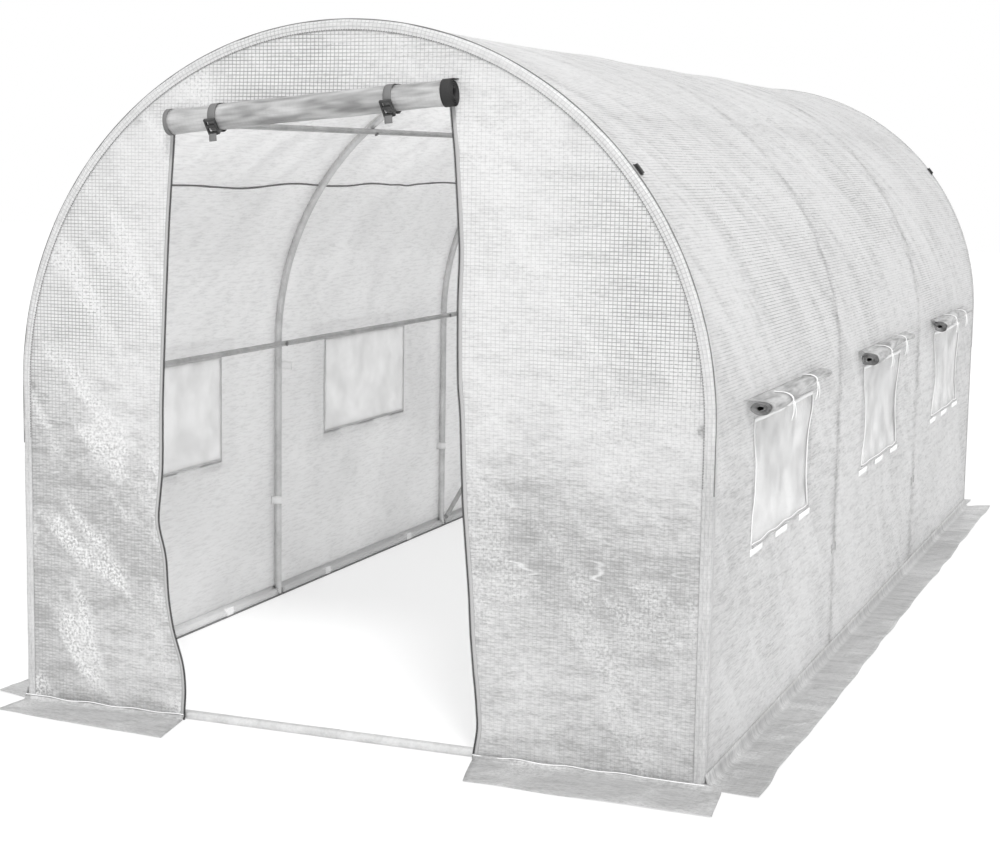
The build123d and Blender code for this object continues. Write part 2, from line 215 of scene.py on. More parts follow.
# Reinforced film: milky sheet over a grid of tape threads, streaked and darker low down, bumped, with
# painted shade of folds, hoops and bolts and painted highlights of glinting specks and creases
def filmFinish(name, **changes):
    look = {**filmLook, **changes}
    material, bench = newFinish(name)
    cut = bench.cloth()
    along = bench.parts(cut)
    place = bench.place()
    spot = bench.parts(place)
    lying = bench.scaled(cut, look["lie"])

    # tape threads both ways
    lines = []
    for axis, pitch, bold in zip("XY", look["pitch"], look["bold"]):
        phase = bench.fold(along.out(axis) / pitch)
        lines.append(bench.spread(phase, look["thread"], look["thread"] + 0.10, bold, 0))
    threads = bench.larger(lines[0], lines[1])

    # darker low down, clouds, smears and fine streaks lying along the sheet
    cloud = bench.spread(bench.flatNoise(cut, look["cloudScale"], 1, 0.55), 0.34, 0.66)
    smear = bench.spread(bench.flatNoise(lying, 6.0, 2, 0.75), 0.42, 0.66)
    streak = bench.spread(bench.flatNoise(lying, look["streakScale"], 2, 0.75), 0.36, 0.66)
    soil = bench.spread(spot.out("Z"), look["darkLowTop"] - 0.35, look["darkLowTop"], 1, 0)
    shade = smear * look["smear"] + streak * look["streak"]
    if look["sweep"]:  # painted shade of soft folds that run slantwise down from the ridge
        foldShadeLie = bench.slanted(cut, look["foldShadeTurn"], (1, 0.13, 1))
        high = bench.spread(spot.out("Z"), wallHeight - 0.1, wallHeight + 0.25, 0, look["sweep"])
        shade = shade + bench.spread(bench.flatNoise(foldShadeLie, 1.7, 2, 0.6), 0.44, 0.64) * high
    if look["shady"] < 1:  # the marks, painted fold shade among them, are weaker towards the left side
        shade = shade * bench.spread(spot.out("X"), -0.9, 0.2, look["shady"], 1)
    shade = shade + soil * look["soil"] * (0.5 + 0.5 * cloud)
    for y in look["hoopShadowYs"]:  # painted shadow of a hoop the sheet lies on, seen through the film
        shade = shade + bench.spread(abs(spot.out("Y") - y), 0.012, 0.070, look["cling"], 0)
    for bolt in look["bolts"]:  # painted shadow of a bolt of the end hoop behind the panel
        away = bench.add("ShaderNodeVectorMath", {"operation": "DISTANCE"}, {0: place, 1: bolt}, "Value")
        shade = shade + bench.spread(away, 0.007, 0.02, 0.7, 0)

    # painted highlights: slanting patches of glinting specks, most on the left, and bright crease lines
    slanting = bench.slanted(cut, look["patchTurn"], look["patch"])
    sheenAndBumpPatches = bench.spread(bench.flatNoise(slanting, 1.0, 2, 0.65), 0.48, 0.64)
    glint = bench.spread(bench.flatNoise(cut, 125.0, 1, 0.6), 0.36, 0.66)
    if look["glintRight"] < 1:
        glint = glint * bench.spread(spot.out("X"), -0.4, 0.3, 1, look["glintRight"])
    creased = bench.scaled(cut, look["creaseLie"])
    pleat = bench.spread(abs(bench.flatNoise(creased, 5.0, 1, 0.5) - 0.5), 0.003, 0.020, 1, 0)
    paintedHighlight = sheenAndBumpPatches * glint * look["glint"] + pleat * cloud * smear * look["pleat"]

    sheet = bench.blend(shade, grey(look["tone"]), grey(look["dull"]))
    showing = threads * (1 - soil * look["darkLowHides"]) * (0.45 + 0.55 * cloud) * look["grid"]
    woven = bench.blend(showing, sheet, grey(look["threadTone"]))
    # painted highlights push the colour to white
    colour = bench.blend(paintedHighlight, woven, grey(1.0))
    bump = bench.bump(look["bump"], 0.006, sheenAndBumpPatches * 0.5 + threads * 0.10)
    surface = bench.surface({
        "Base Color": colour, "Roughness": 0.28 + 0.2 * smear, "IOR": filmIndex, "Normal": bump})
    factor = look["through"] * (1 - 0.7 * showing) * (1 - 0.6 * shade)
    closeFinish(bench, bench.mixed(factor, surface, bench.translucent(look["glow"])))
    return material


# Inner face of the film: smooth and milky, with the same lying streaks
def liningFinish(name, look):
    material, bench = newFinish(name)
    cut = bench.cloth()
    lying = bench.scaled(cut, look["lie"])
    cloud = bench.spread(bench.flatNoise(cut, 8.0, 2, 0.6), 0.36, 0.64)
    streak = bench.spread(bench.flatNoise(lying, look["streakScale"] * 0.6, 2, 0.8), 0.36, 0.66)
    colour = bench.blend(streak * 0.6, grey(0.96), grey(0.45))
    surface = bench.surface({"Base Color": colour, "Roughness": 0.4 + 0.2 * streak, "IOR": filmIndex})
    factor = 0.98 - 0.28 * streak - 0.12 * cloud
    closeFinish(bench, bench.mixed(factor, surface, bench.translucent(look["glow"])))
    return material


# Spots of painted shadow on the end panels, where the end hoop's bolts show through the film
boltShadowSpots = [(sign * hoopAxis * 0.985, -panelY, wallHeight) for sign in (-1, 1)]
filmLook = {
    "pitch": (0.0114, 0.0093), "bold": (0.8, 1.0), "thread": 0.05, "threadTone": 0.16, "grid": 1.0,
    "tone": 0.97, "dull": 0.34, "glow": 0.98, "through": 0.68, "bump": 0.8, "cloudScale": 1.5,
    "soil": 0.70, "darkLowTop": 1.08, "darkLowHides": 0.55,
    "lie": (1.0, 4.0, 1.0), "smear": 0.24, "streak": 0.36, "streakScale": 46.0,
    "sweep": 0.0, "foldShadeTurn": 0.0, "shady": 1.0, "hoopShadowYs": (), "cling": 0.0, "bolts": (),
    "glint": 0.30, "glintRight": 1.0, "patch": (0.14, 0.24, 1.0), "patchTurn": -0.6,
    "creaseLie": (0.4, 4.0, 1.0), "pleat": 0.45,
}
coverLook = {
    **filmLook, "pitch": (0.0093, 0.0114), "bold": (1.0, 0.35), "thread": 0.06, "through": 0.8,
    "soil": 0.46, "darkLowHides": 0.85, "lie": (9.0, 1.2, 1.0), "smear": 0.26, "streakScale": 22.0,
    "sweep": 0.30, "foldShadeTurn": 0.75, "shady": 0.45, "hoopShadowYs": hoopYs[1:3], "cling": 0.30,
    "glint": 0.55, "patch": (0.55, 0.09, 1.0), "patchTurn": 0.75,
    "creaseLie": (9.0, 0.5, 1.0), "pleat": 0.3,
}
panelFilm = filmFinish("panelFilm", bolts=boltShadowSpots, glint=0.75, glintRight=0.5,
                       patch=(0.40, 0.13, 1.0), patchTurn=-0.9)
coverFilm = filmFinish("coverFilm", **coverLook)
panelLining = liningFinish("panelLining", filmLook)
coverLining = liningFinish("coverLining", coverLook)
hemFilm = filmFinish("hemFilm", soil=0.45, smear=0.1, streak=0.25, grid=0.6, glint=0.2, pleat=0.1,
                     through=0.5)
flapFilm = filmFinish("flapFilm", grid=0.1, soil=0.0, smear=0.0, streak=0.05, glow=1.0, through=0.98)
skirtFilm = filmFinish("skirtFilm", tone=0.66, soil=0.5, streak=0.5, pleat=0.4, grid=0.3, through=0.2)
sleeveFilm = filmFinish("sleeveFilm", tone=1.0, soil=0.0, smear=0.0, streak=0.1, grid=0.1, glint=0.0,
                        pleat=0.0, through=0.45)
rollFilm = filmFinish("rollFilm", lie=(1.0, 5.0, 1.0), tone=0.56, dull=0.12, smear=0.2, streak=0.6,
                      streakScale=5.0, glint=0.0, pleat=0.25, grid=0.1, through=0.1, soil=0.0)


# Zinc-coated tube: faint spangle, dull handling marks
def steelFinish(name, tone, dull):
    material, bench = newFinish(name)
    place = bench.place()
    spangle = bench.add("ShaderNodeTexVoronoi", {}, {"Vector": place, "Scale": 160.0}, "Color")
    flake = bench.parts(spangle)
    wear = bench.spread(bench.noise(place, 14.0, 5, 0.6), 0.4, 0.7)
    colour = bench.blend(wear * 0.6 + flake * 0.25, grey(tone), grey(dull))
    bump = bench.bump(0.12, 0.001, bench.noise(place, 220.0, 3))
    closeFinish(bench, bench.surface({
        "Base Color": colour, "Metallic": 0.65, "Roughness": 0.34 + 0.18 * wear, "Normal": bump}))
    return material


tubeSteel = steelFinish("tubeSteel", 0.72, 0.50)
railSteel = steelFinish("railSteel", 0.52, 0.36)
boltSteel = steelFinish("boltSteel", 0.34, 0.2)


# Woven tape: ribs across the band, a paler or darker selvedge wear
def webbingFinish(name, tone, dull, rib=0.0026):
    material, bench = newFinish(name)
    along = bench.parts(bench.cloth())
    place = bench.place()
    weave = bench.fold(along.out("X") / rib) * 2
    rows = bench.fold(along.out("Y") / (rib * 1.5)) * 2
    fuzz = bench.noise(place, 300.0, 3)
    colour = bench.blend(weave * 0.45 + rows * 0.25 + fuzz * 0.2, grey(tone), grey(dull))
    bump = bench.bump(0.5, 0.0008, weave * 0.7 + rows * 0.3 + fuzz * 0.2)
    rough = 0.62 + 0.2 * fuzz
    closeFinish(bench, bench.surface({"Base Color": colour, "Roughness": rough, "Normal": bump}))
    return material


blackWeb = webbingFinish("blackWeb", 0.03, 0.012)
greyTape = webbingFinish("greyTape", 0.5, 0.32)
slateTape = webbingFinish("slateTape", 0.2, 0.12)
whiteWeb = webbingFinish("whiteWeb", 0.98, 0.88)


# Moulded plastic: fine spark texture and rubbed patches
def plasticFinish(name, tone, rubbed, rough):
    material, bench = newFinish(name)
    place = bench.place()
    rub = bench.spread(bench.noise(place, 35.0, 4, 0.6), 0.45, 0.7)
    colour = bench.blend(rub, grey(tone), grey(rubbed))
    bump = bench.bump(0.2, 0.0006, bench.noise(place, 700.0, 2))
    rough = rough + 0.12 * rub
    closeFinish(bench, bench.surface({"Base Color": colour, "Roughness": rough, "Normal": bump}))
    return material


blackPlastic = plasticFinish("blackPlastic", 0.025, 0.05, 0.36)
whitePlastic = plasticFinish("whitePlastic", 0.9, 0.8, 0.4)


# Insect net: open mesh of fine white threads
def netFinish(name, look):
    material, bench = newFinish(name)
    along = bench.parts(bench.cloth())
    place = bench.place()
    lines = []
    for axis in "XY":
        phase = bench.fold(along.out(axis) / look["pitch"])
        lines.append(bench.spread(phase, look["thread"], look["thread"] + 0.05, 1, 0))
    threads = bench.larger(lines[0], lines[1])
    bump = bench.bump(0.3, 0.0006, threads)
    cloud = bench.spread(bench.noise(place, 9.0, 3), 0.35, 0.65)
    colour = bench.blend(cloud, grey(look["tone"]), grey(look["dull"]))
    surface = bench.surface({"Base Color": colour, "Roughness": 0.55 + 0.2 * cloud, "Normal": bump})
    body = bench.mixed(0.5, surface, bench.translucent(0.98))
    clear = bench.add("ShaderNodeBsdfTransparent")
    closeFinish(bench, bench.mixed(look["solid"] + 0.42 * threads, clear, body))
    return material


netLook = {"pitch": 0.0024, "thread": 0.15, "tone": 0.98, "dull": 0.62, "solid": 0.55}
insectNet = netFinish("insectNet", netLook)
openNet = netFinish("openNet", {**netLook, "solid": 0.36})
clearCord = netFinish("clearCord", {**netLook, "thread": 0.0, "solid": 0.05})
print("finishes ready")


def newObject(name, data):
    made = bpy.data.objects.new(name, data)
    scene.collection.objects.link(made)
    return made


# Arrays of one shape become the last axis of one array
def together(*parts):
    return np.stack(np.broadcast_arrays(*parts), -1)


# Distance run at each point of a path
def runAlong(path):
    return np.concatenate([[0], np.cumsum(np.linalg.norm(np.diff(path, axis=0), axis=1))])


def smooth(low, high, value):
    share = np.clip((value - low) / (high - low), 0, 1)
    return share * share * (3 - 2 * share)


# Seeded lattice noise from -1 to 1
def lattice(u, v, seed):
    u, v = np.broadcast_arrays(np.asarray(u, float), np.asarray(v, float))
    cellU, cellV = np.floor(u).astype(np.int64), np.floor(v).astype(np.int64)
    fu, fv = smooth(0, 1, u - cellU), smooth(0, 1, v - cellV)

    def corner(du, dv):
        mixed = ((cellU + du) * 73856093) ^ ((cellV + dv) * 19349663) ^ (seed * 83492791)
        mixed = ((mixed ^ (mixed >> 13)) * 1274126177) & 0x7FFFFFFF
        return ((mixed ^ (mixed >> 15)) & 0xFFFF) / 32767.5 - 1

    low = corner(0, 0) * (1 - fu) + corner(1, 0) * fu
    high = corner(0, 1) * (1 - fu) + corner(1, 1) * fu
    return low * (1 - fv) + high * fv


# Sharp little ridges of creased film, from 0 to 1
def creases(u, v, seed):
    total = np.zeros(np.broadcast(u, v).shape)
    size, share = 1.0, 0.6
    for layer in range(3):
        bent = 0.35 * lattice(u * size, v * size, seed + 40 + layer)
        total = total + share * (1 - np.abs(lattice(u * size + bent, v * size - bent, seed + layer))) ** 3
        size, share = size * 2.1, share * 0.45
    return total


def thicken(piece, thick):
    wall = piece.modifiers.new("thickness", "SOLIDIFY")
    wall.thickness, wall.offset = thick, 0.0
    return wall


# A grid of points becomes a sheet; uv is in metres on the cloth
def gridSheet(name, points, uv, finish, flip=False, thick=0.0, lining=None, keep=None):
    rows, columns = points.shape[:2]
    index = np.arange(rows * columns).reshape(rows, columns)
    quads = np.stack([index[:-1, :-1], index[1:, :-1], index[1:, 1:], index[:-1, 1:]], -1).reshape(-1, 4)
    if keep is not None:
        quads = quads[keep.reshape(-1)]
    used, quads = np.unique(quads[:, ::-1] if flip else quads, return_inverse=True)
    mesh = bpy.data.meshes.new(name)
    mesh.from_pydata(points.reshape(-1, 3)[used].tolist(), [], quads.reshape(-1, 4).tolist())
    corners = np.zeros(len(mesh.loops), np.int32)
    mesh.loops.foreach_get("vertex_index", corners)
    layer = mesh.uv_layers.new(name="film")
    layer.data.foreach_set("uv", uv.reshape(-1, 2)[used][corners].astype(np.float32).ravel())
    mesh.shade_smooth()
    mesh.materials.append(finish)
    piece = newObject(name, mesh)
    if thick:
        wall = thicken(piece, thick)
        if lining:
            mesh.materials.append(lining)
            wall.material_offset = wall.material_offset_rim = 1
    return piece


def settle(piece, slot, *replaced):
    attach(piece, "root")
    if replaced:
        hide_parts(*replaced)
    return piece


# One mesh of several sheets, each with its first material
def joinPieces(name, parts):
    mesh = bpy.data.meshes.new(name)
    merged = bmesh.new()
    materials = []
    for part in parts:
        start = len(merged.faces)
        merged.from_mesh(part.data)
        merged.faces.ensure_lookup_table()
        for material in part.data.materials:
            if material not in materials:
                materials.append(material)
        for face in merged.faces[start:]:
            face.material_index = materials.index(part.data.materials[0])
    merged.to_mesh(mesh)
    merged.free()
    for material in materials:
        mesh.materials.append(material)
    thick = [m.thickness for m in parts[0].modifiers if m.type == "SOLIDIFY"]
    for part in parts:
        spare = part.data
        bpy.data.objects.remove(part)
        bpy.data.meshes.remove(spare)
    piece = newObject(name, mesh)
    if thick:
        thicken(piece, thick[0])
    return piece


# Outward direction and base height of the cover at a run t,
# which goes from the left foot over the arch to the right foot
def outlineAt(t):
    t = np.asarray(t, float)
    turn = np.clip((t - wallHeight) / coverRadius, 0, math.pi)
    base = np.where(t < wallHeight, t, np.where(t > wallHeight + archRun, coverRun - t, wallHeight))
    return -np.cos(turn), np.sin(turn), base


waveSeeds = {"left": 5, "right": 8}  # of the slack round each side's windows
cover = {
    "spacing": 0.0165,
    "wallSag": 0.004,
    "roofSag": 0.006,
    "fold": 0.009,
    "crease": 0.0035,
    "mostInward": 0.026,
    "mostOutward": 0.007,
    "windowWave": {waveSeeds["left"]: 0.002, waveSeeds["right"]: 0.014},
    "waist": 0.69,  # height where the slack film pinches the right-hand windows
    "waistHigh": 0.11,
    "pinch": ((0.030, 0.055), (0.080, 0.075), (0.080, 0.080)),  # of each window's front and back edge
    "windowReach": 0.10,  # how far the wave of a window's edge runs into the wall
}


# Distance outside the nearest window's opening, negative within it
def windowGap(y, z):
    nearest = np.full(np.broadcast(y, z).shape, 9.0)
    for middle in bayYs:
        beside = np.abs(y - middle) - tunnel["windowWide"] / 2
        over = np.maximum(tunnel["windowSill"] - z, z - tunnel["windowTop"])
        nearest = np.minimum(nearest, np.maximum(beside, over))
    return nearest


# In-plane wave of the sheet round the window openings
def windowWave(y, z, seed):
    reach = 1 - smooth(0.0, cover["windowReach"], np.abs(windowGap(y, z)))
    slide = cover["windowWave"][seed] * reach
    shiftY = slide * lattice(z * 13 + 5, y * 2.1, seed)
    shiftZ = 0.35 * slide * lattice(y * 11, z * 3 + 9, seed + 1)
    if seed == waveSeeds["right"]:
        tight = np.exp(-(((z - cover["waist"]) / cover["waistHigh"]) ** 2))
        for middle, (front, back) in zip(bayYs, cover["pinch"]):
            beside = 1 - smooth(0.0, 0.22, np.abs(np.abs(y - middle) - tunnel["windowWide"] / 2))
            shiftY = shiftY + tight * beside * np.where(y < middle, front, -back)
    return shiftY, shiftZ


# How far the slack sheet stands off its taut line, outward positive
def coverLift(t, y):
    _, up, base = outlineAt(t)
    z = base + up * coverRadius
    share = np.clip((y - hoopYs[0]) / bay, 0, 3)
    share = share - np.minimum(np.floor(share), 2)
    span = 1 - np.abs(2 * share - 1) ** 2.6
    foot = smooth(0.02, 0.16, z)
    calm = 0.3 + 0.7 * smooth(0.0, 0.12, np.where(up < 0.2, windowGap(y, z), 1.0))
    sag = -(cover["wallSag"] + (cover["roofSag"] - cover["wallSag"]) * up) * span
    # tension folds fan down from the arch towards the windows
    slant = t * 9 + np.where(t > coverRun / 2, -1, 1) * 5.5 * y
    patch = smooth(-0.1, 0.6, lattice(t * 1.1, y * 1.3, 31)) * smooth(0.15, 0.5, span)
    fold = cover["fold"] * patch * (np.abs(np.sin(slant + 1.3 * lattice(t * 2, y * 2, 17))) - 0.55)
    rough = smooth(-0.35, 0.5, lattice(t * 1.7 + 3, y * 1.6, 53)) * (0.3 + 0.7 * (1 - smooth(0.5, 1.3, z)))
    crease = cover["crease"] * rough * (creases(t * 8.0, y * 5.0, 71) - 0.4) * span ** 0.5
    lift = (sag + fold + crease) * foot * calm
    return np.clip(lift, -cover["mostInward"], cover["mostOutward"])


def coverPoints(t, y, raised=0.0, waveSeed=0):
    side, up, base = outlineAt(t)
    over = np.maximum(np.abs(y) - endHoopY, 0) / edgeRound
    lift = np.where(over > 0, 0, coverLift(t, y)) + raised
    radius = hoopAxis + edgeRound * np.cos(over) + lift
    z = base + up * radius
    yOut = np.sign(y) * (np.minimum(np.abs(y), endHoopY) + edgeRound * np.sin(over))
    if waveSeed:
        shiftY, shiftZ = windowWave(y, z, waveSeed)
        yOut, z = yOut + shiftY, z + shiftZ
    return together(side * radius, yOut, z)


# A run through all the stops, in equal steps between each two
def steps(stops, spacing):
    runs = []
    for a, b in zip(stops, stops[1:]):
        count = max(2, math.ceil(abs(b - a) / spacing) + 1)
        runs.append(np.linspace(a, b, count)[:-1])
    return np.concatenate(runs + [np.array(stops[-1:])])


wrap = edgeRound * math.pi / 2
yStops = [-endHoopY - wrap, -endHoopY]
for middle, y in zip(bayYs, hoopYs[1:]):
    yStops += [middle - tunnel["windowWide"] / 2, middle + tunnel["windowWide"] / 2, y]
yStops.append(endHoopY + wrap)
yRun = steps(yStops, cover["spacing"])
turnRun = wrap * np.linspace(0, 1, 5)
yRun = np.unique(np.concatenate([yRun, -endHoopY - turnRun, endHoopY + turnRun]))


# One strip of the cover, with the windows left out where it has a wave seed
def coverStrip(name, tRun, waveSeed):
    t, y = tRun[:, None], yRun[None, :]
    points = coverPoints(t, y, 0.0, waveSeed)
    keep = None
    if waveSeed:
        tMid, yMid = (tRun[:-1] + tRun[1:])[:, None] / 2, (yRun[:-1] + yRun[1:])[None, :] / 2
        _, up, base = outlineAt(tMid)
        keep = windowGap(yMid, base + up * coverRadius) > 0
    return gridSheet(name, points, together(t, y), coverFilm, False, tunnel["film"], coverLining, keep)


wallStops = [0.0, tunnel["windowSill"], tunnel["windowTop"], leftSeam]
seamRow = 0.0015  # a tight last row keeps the shading of the sheet's edge narrow
leftRun = steps([*wallStops[:-1], leftSeam - seamRow, leftSeam], cover["spacing"])
leftCover = coverStrip("leftCover", leftRun, waveSeeds["left"])
rightCover = coverStrip("rightCover", coverRun - leftRun[::-1], waveSeeds["right"])
roofRun = steps([leftSeam, leftSeam + seamRow, rightSeam - seamRow, rightSeam], cover["spacing"] * 1.1)
roofCover = coverStrip("roofCover", roofRun, 0)
sideLength = 2 * (endHoopY + wrap)
windowHole = tunnel["windowWide"] * (tunnel["windowTop"] - tunnel["windowSill"])
for strip, node in ((leftCover, "left_side_sheet"), (rightCover, "right_side_sheet")):
    settle(strip, "cover_film", node)
    leftSeam * sideLength - 3 * windowHole
settle(roofCover, "cover_film", "roof_sheet")
rightSeam - leftSeam
print("cover strips stretched over the hoops")

door = {
    "left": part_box("front_panel_left")[1].x,
    "right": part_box("front_panel_right")[0].x,
    "headLeft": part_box("front_panel_top")[0].z,
    "slope": math.tan(math.radians(5.7)),
    "spacing": 0.0155,
    "crease": 0.007,
    "billow": 0.016,  # of the free jambs, out of the panel's plane
}
# Bends of the two slack jambs: a height, and how far the edge is there from its straight line
jambBends = {
    "left": (
        (0.0, 0.029), (0.09, 0.036), (0.16, 0.030), (0.25, -0.001), (0.34, -0.016), (0.46, -0.021),
        (0.55, -0.046), (0.70, -0.029), (0.89, -0.027), (1.02, -0.020), (1.24, -0.009), (1.37, -0.002),
        (1.60, 0.016), (1.80, 0.016),
    ),
    "right": (
        (0.0, 0.040), (0.08, 0.055), (0.20, 0.045), (0.32, 0.031), (0.45, 0.024), (0.68, 0.004),
        (0.91, -0.005), (0.98, -0.012), (1.19, -0.015), (1.32, -0.011), (1.56, -0.028), (1.70, -0.044),
        (1.80, -0.044),
    ),
}


def jambX(side, z):
    heights, bends = zip(*jambBends[side])
    fine = np.linspace(0, heights[-1], 400)
    blur = np.hanning(25)
    soft = np.convolve(np.pad(np.interp(fine, heights, bends), 12, "edge"), blur / blur.sum(), "valid")
    return door[side] + np.interp(z, fine, soft)


def headZ(x):
    return door["headLeft"] + (x - door["left"]) * door["slope"]


# How far the panel stands out from its plane
def panelDrape(x, z, fromRim, fromJamb, seed):
    low = 1 - smooth(0.55, 1.45, z)
    rough = smooth(-0.3, 0.5, lattice(x * 2.2 + 7, z * 1.9, seed)) * (0.25 + 0.75 * low)
    slantU = x * 7 + z * (5.0 if seed % 2 else -5.0)
    slantV = z * 5 - x * (2.0 if seed % 2 else -2.0)
    crease = door["crease"] * rough * creases(slantU, slantV, seed + 3)
    slack = 1 - smooth(0.0, 0.16, fromJamb)
    billow = door["billow"] * slack * (0.5 + 0.5 * lattice(z * 3.4, 0.5, seed + 9)) * smooth(0.03, 0.2, z)
    return (crease + billow) * smooth(0.012, 0.10, fromRim) * smooth(0.0, 0.06, z)


# Front panel: a sheet between the arch and the doorway
def frontPanelSheet():
    cornerLeft = np.array((door["left"], headZ(door["left"])))
    cornerRight = np.array((jambX("right", headZ(door["right"])), headZ(door["right"])))
    middle = np.array(((door["left"] + door["right"]) / 2, wallHeight))
    turnLeft, turnRight = (math.pi - math.atan2(*(c - middle)[::-1]) for c in (cornerLeft, cornerRight))
    tLeft, tRight = wallHeight + turnLeft * coverRadius, wallHeight + turnRight * coverRadius
    tRun = steps([0, wallHeight, tLeft, tRight, wallHeight + archRun, coverRun], door["spacing"])
    side, up, base = outlineAt(tRun)
    rim = np.stack([side * hoopAxis, base + up * hoopAxis], -1)
    rimTop = [np.interp(t, tRun, rim[:, 1]) for t in (tLeft, tRight)]
    rimX = [np.interp(t, tRun, rim[:, 0]) for t in (tLeft, tRight)]
    inner = np.zeros_like(rim)
    for row, (t, (x, z)) in enumerate(zip(tRun, rim)):
        if tLeft < t < tRight:
            across = cornerLeft[0] + (x - rimX[0]) / (rimX[1] - rimX[0]) * (cornerRight[0] - cornerLeft[0])
            inner[row] = across, headZ(across)
        else:
            name, top, high = "right", cornerRight[1], rimTop[1]
            if t <= tLeft:
                name, top, high = "left", cornerLeft[1], rimTop[0]
            level = z
            if z >= wallHeight:
                level = wallHeight + (z - wallHeight) * (top - wallHeight) / (high - wallHeight)
            inner[row] = jambX(name, level), level
    share = np.linspace(0, 1, 40)[None, :, None]
    flat = rim[:, None, :] * (1 - share) + inner[:, None, :] * share
    wide = np.linalg.norm(rim - inner, axis=1)[:, None]
    out = panelDrape(flat[..., 0], flat[..., 1], wide * share[..., 0], wide * (1 - share[..., 0]), 12)
    points = np.stack([flat[..., 0], -panelY - out, flat[..., 1]], -1)
    jambs = {"left": points[tRun <= tLeft, -1], "right": points[tRun >= tRight, -1]}
    return gridSheet("frontPanel", points, flat, panelFilm, True, tunnel["film"], panelLining), jambs


frontPanel, jambLines = frontPanelSheet()
settle(frontPanel, "cover_film", "front_panel_left", "front_panel_right", "front_panel_top")
panelArea = 2 * hoopAxis * wallHeight + math.pi * hoopAxis**2 / 2
doorArea = (door["right"] - door["left"]) * headZ((door["left"] + door["right"]) / 2)
2 * hoopAxis
wallHeight + hoopAxis
panelArea - doorArea


# Back panel: columns of the sheet stand closer towards the walls
def backPanelSheet():
    turn = np.linspace(-math.pi / 2, math.pi / 2, 130)
    x = hoopAxis * np.sin(turn)[:, None]
    share = np.linspace(0, 1, 110)[None, :]
    z = (wallHeight + hoopAxis * np.cos(turn)[:, None]) * share
    x = np.broadcast_to(x, z.shape)
    fromArch = np.where(z > wallHeight, hoopAxis - np.hypot(x, z - wallHeight), 9)
    fromRim = np.minimum(hoopAxis - np.abs(x), fromArch)
    out = panelDrape(x, z, np.maximum(fromRim, 0), np.full(z.shape, 9.0), 25)
    points = together(x, panelY + out, z)
    uv = together(x, z)
    return gridSheet("backPanel", points, uv, panelFilm, True, tunnel["film"], panelLining)


backPanel = settle(backPanelSheet(), "cover_film", "back_panel")
2 * hoopAxis
wallHeight + hoopAxis
print("end panels hung")

hem = {
    "onRoof": 0.010, "onPanel": 0.014, "stand": 0.0014, "puff": 0.0016, "plainBelow": 0.74,
    "stitch": 0.007, "stitchSize": (0.0046, 0.0018, 0.0009), "stitchStand": 0.0012,
    "piping": 0.0018, "pipingTurn": math.radians(28),
}


# Hem: the doubled edge of the cover, turned round an end hoop
def hemBand(name, end):
    tRun = steps([0, wallHeight, wallHeight + archRun, coverRun], 0.02)
    ring = edgeRound + hem["stand"]
    section = [(ring, back) for back in np.linspace(hem["onRoof"], 0.002, 5)]
    section += [(ring * math.cos(a), -ring * math.sin(a)) for a in np.linspace(0, math.pi / 2, 9)]
    section += [(-fall, -ring) for fall in np.linspace(0.004, hem["onPanel"], 7)]
    section = np.array(section)
    run = runAlong(section)
    side, up, base = outlineAt(tRun)
    uneven = 0.5 + 0.5 * lattice(tRun[:, None] * 24, run[None, :] * 40, 61)
    puff = hem["puff"] * uneven * np.sin(run / run[-1] * math.pi)
    radial = hoopAxis + section[None, :, 0] + puff * (section[None, :, 0] > 0)
    out = section[None, :, 1] - puff * (section[None, :, 1] < 0)
    points = together(side[:, None] * radial, end * (endHoopY - out), base[:, None] + up[:, None] * radial)
    uv = together(tRun[:, None], run[None, :])
    piece = settle(gridSheet(name, points, uv, hemFilm, end > 0, tunnel["film"]), "cover_film")
    return piece, points[:, -2]


frontHem, frontStitch = hemBand("frontHem", -1)
backHem, backStitch = hemBand("backHem", 1)


# An empty Geometry Nodes tree that takes the named sockets and gives one geometry
def newTree(name, takes, gives):
    tree = bpy.data.node_groups.new(name, "GeometryNodeTree")
    for label, kind in takes.items():
        tree.interface.new_socket(label, in_out="INPUT", socket_type="NodeSocket" + kind)
    tree.interface.new_socket(gives, in_out="OUTPUT", socket_type="NodeSocketGeometry")
    return tree, Bench(tree)


# Geometry Nodes: one small block after another along a path
def blockTree(name, finish):
    takes = {"Path": "Geometry", "Spacing": "Float", "Size": "Vector", "Facing": "Vector"}
    tree, bench = newTree(name, takes, "Blocks")
    given = bench.add("NodeGroupInput")
    line = bench.add("GeometryNodeMeshToCurve", {}, {"Mesh": given})
    dots = bench.add("GeometryNodeResampleCurve", {"mode": "LENGTH"}, {
        "Curve": line, "Length": given.out("Spacing")})
    tangent = bench.add("GeometryNodeInputTangent")
    ahead = bench.add("FunctionNodeAlignRotationToVector", {"axis": "X"}, {"Vector": tangent})
    level = bench.add("FunctionNodeAlignRotationToVector", {"axis": "Z", "pivot_axis": "X"}, {
        "Rotation": ahead, "Vector": given.out("Facing")})
    block = bench.add("GeometryNodeMeshCube", {}, {"Size": given.out("Size")})
    bench.add("NodeGroupOutput", {}, {"Blocks": bench.planted(dots, block, level, finish)})
    return tree


# Runs a tree on a seed mesh and keeps the result as a plain mesh
def grow(name, mesh, tree, values):
    seed = newObject(name + "Seed", mesh)
    growth = seed.modifiers.new("growth", "NODES")
    growth.node_group = tree
    for item in tree.interface.items_tree:
        if item.in_out == "INPUT" and item.name in values:
            growth[item.identifier] = values[item.name]
    made = bpy.data.meshes.new_from_object(seed.evaluated_get(bpy.context.evaluated_depsgraph_get()))
    made.name = name
    bpy.data.objects.remove(seed)
    return newObject(name, made)


# Grows blocks along the given paths
def growAlong(name, tree, paths, values):
    points, edges = [], []
    for path in paths:
        start = len(points)
        points += [tuple(p) for p in path]
        edges += [(start + i, start + i + 1) for i in range(len(path) - 1)]
    mesh = bpy.data.meshes.new(name)
    mesh.from_pydata(points, edges, [])
    return grow(name, mesh, tree, values)


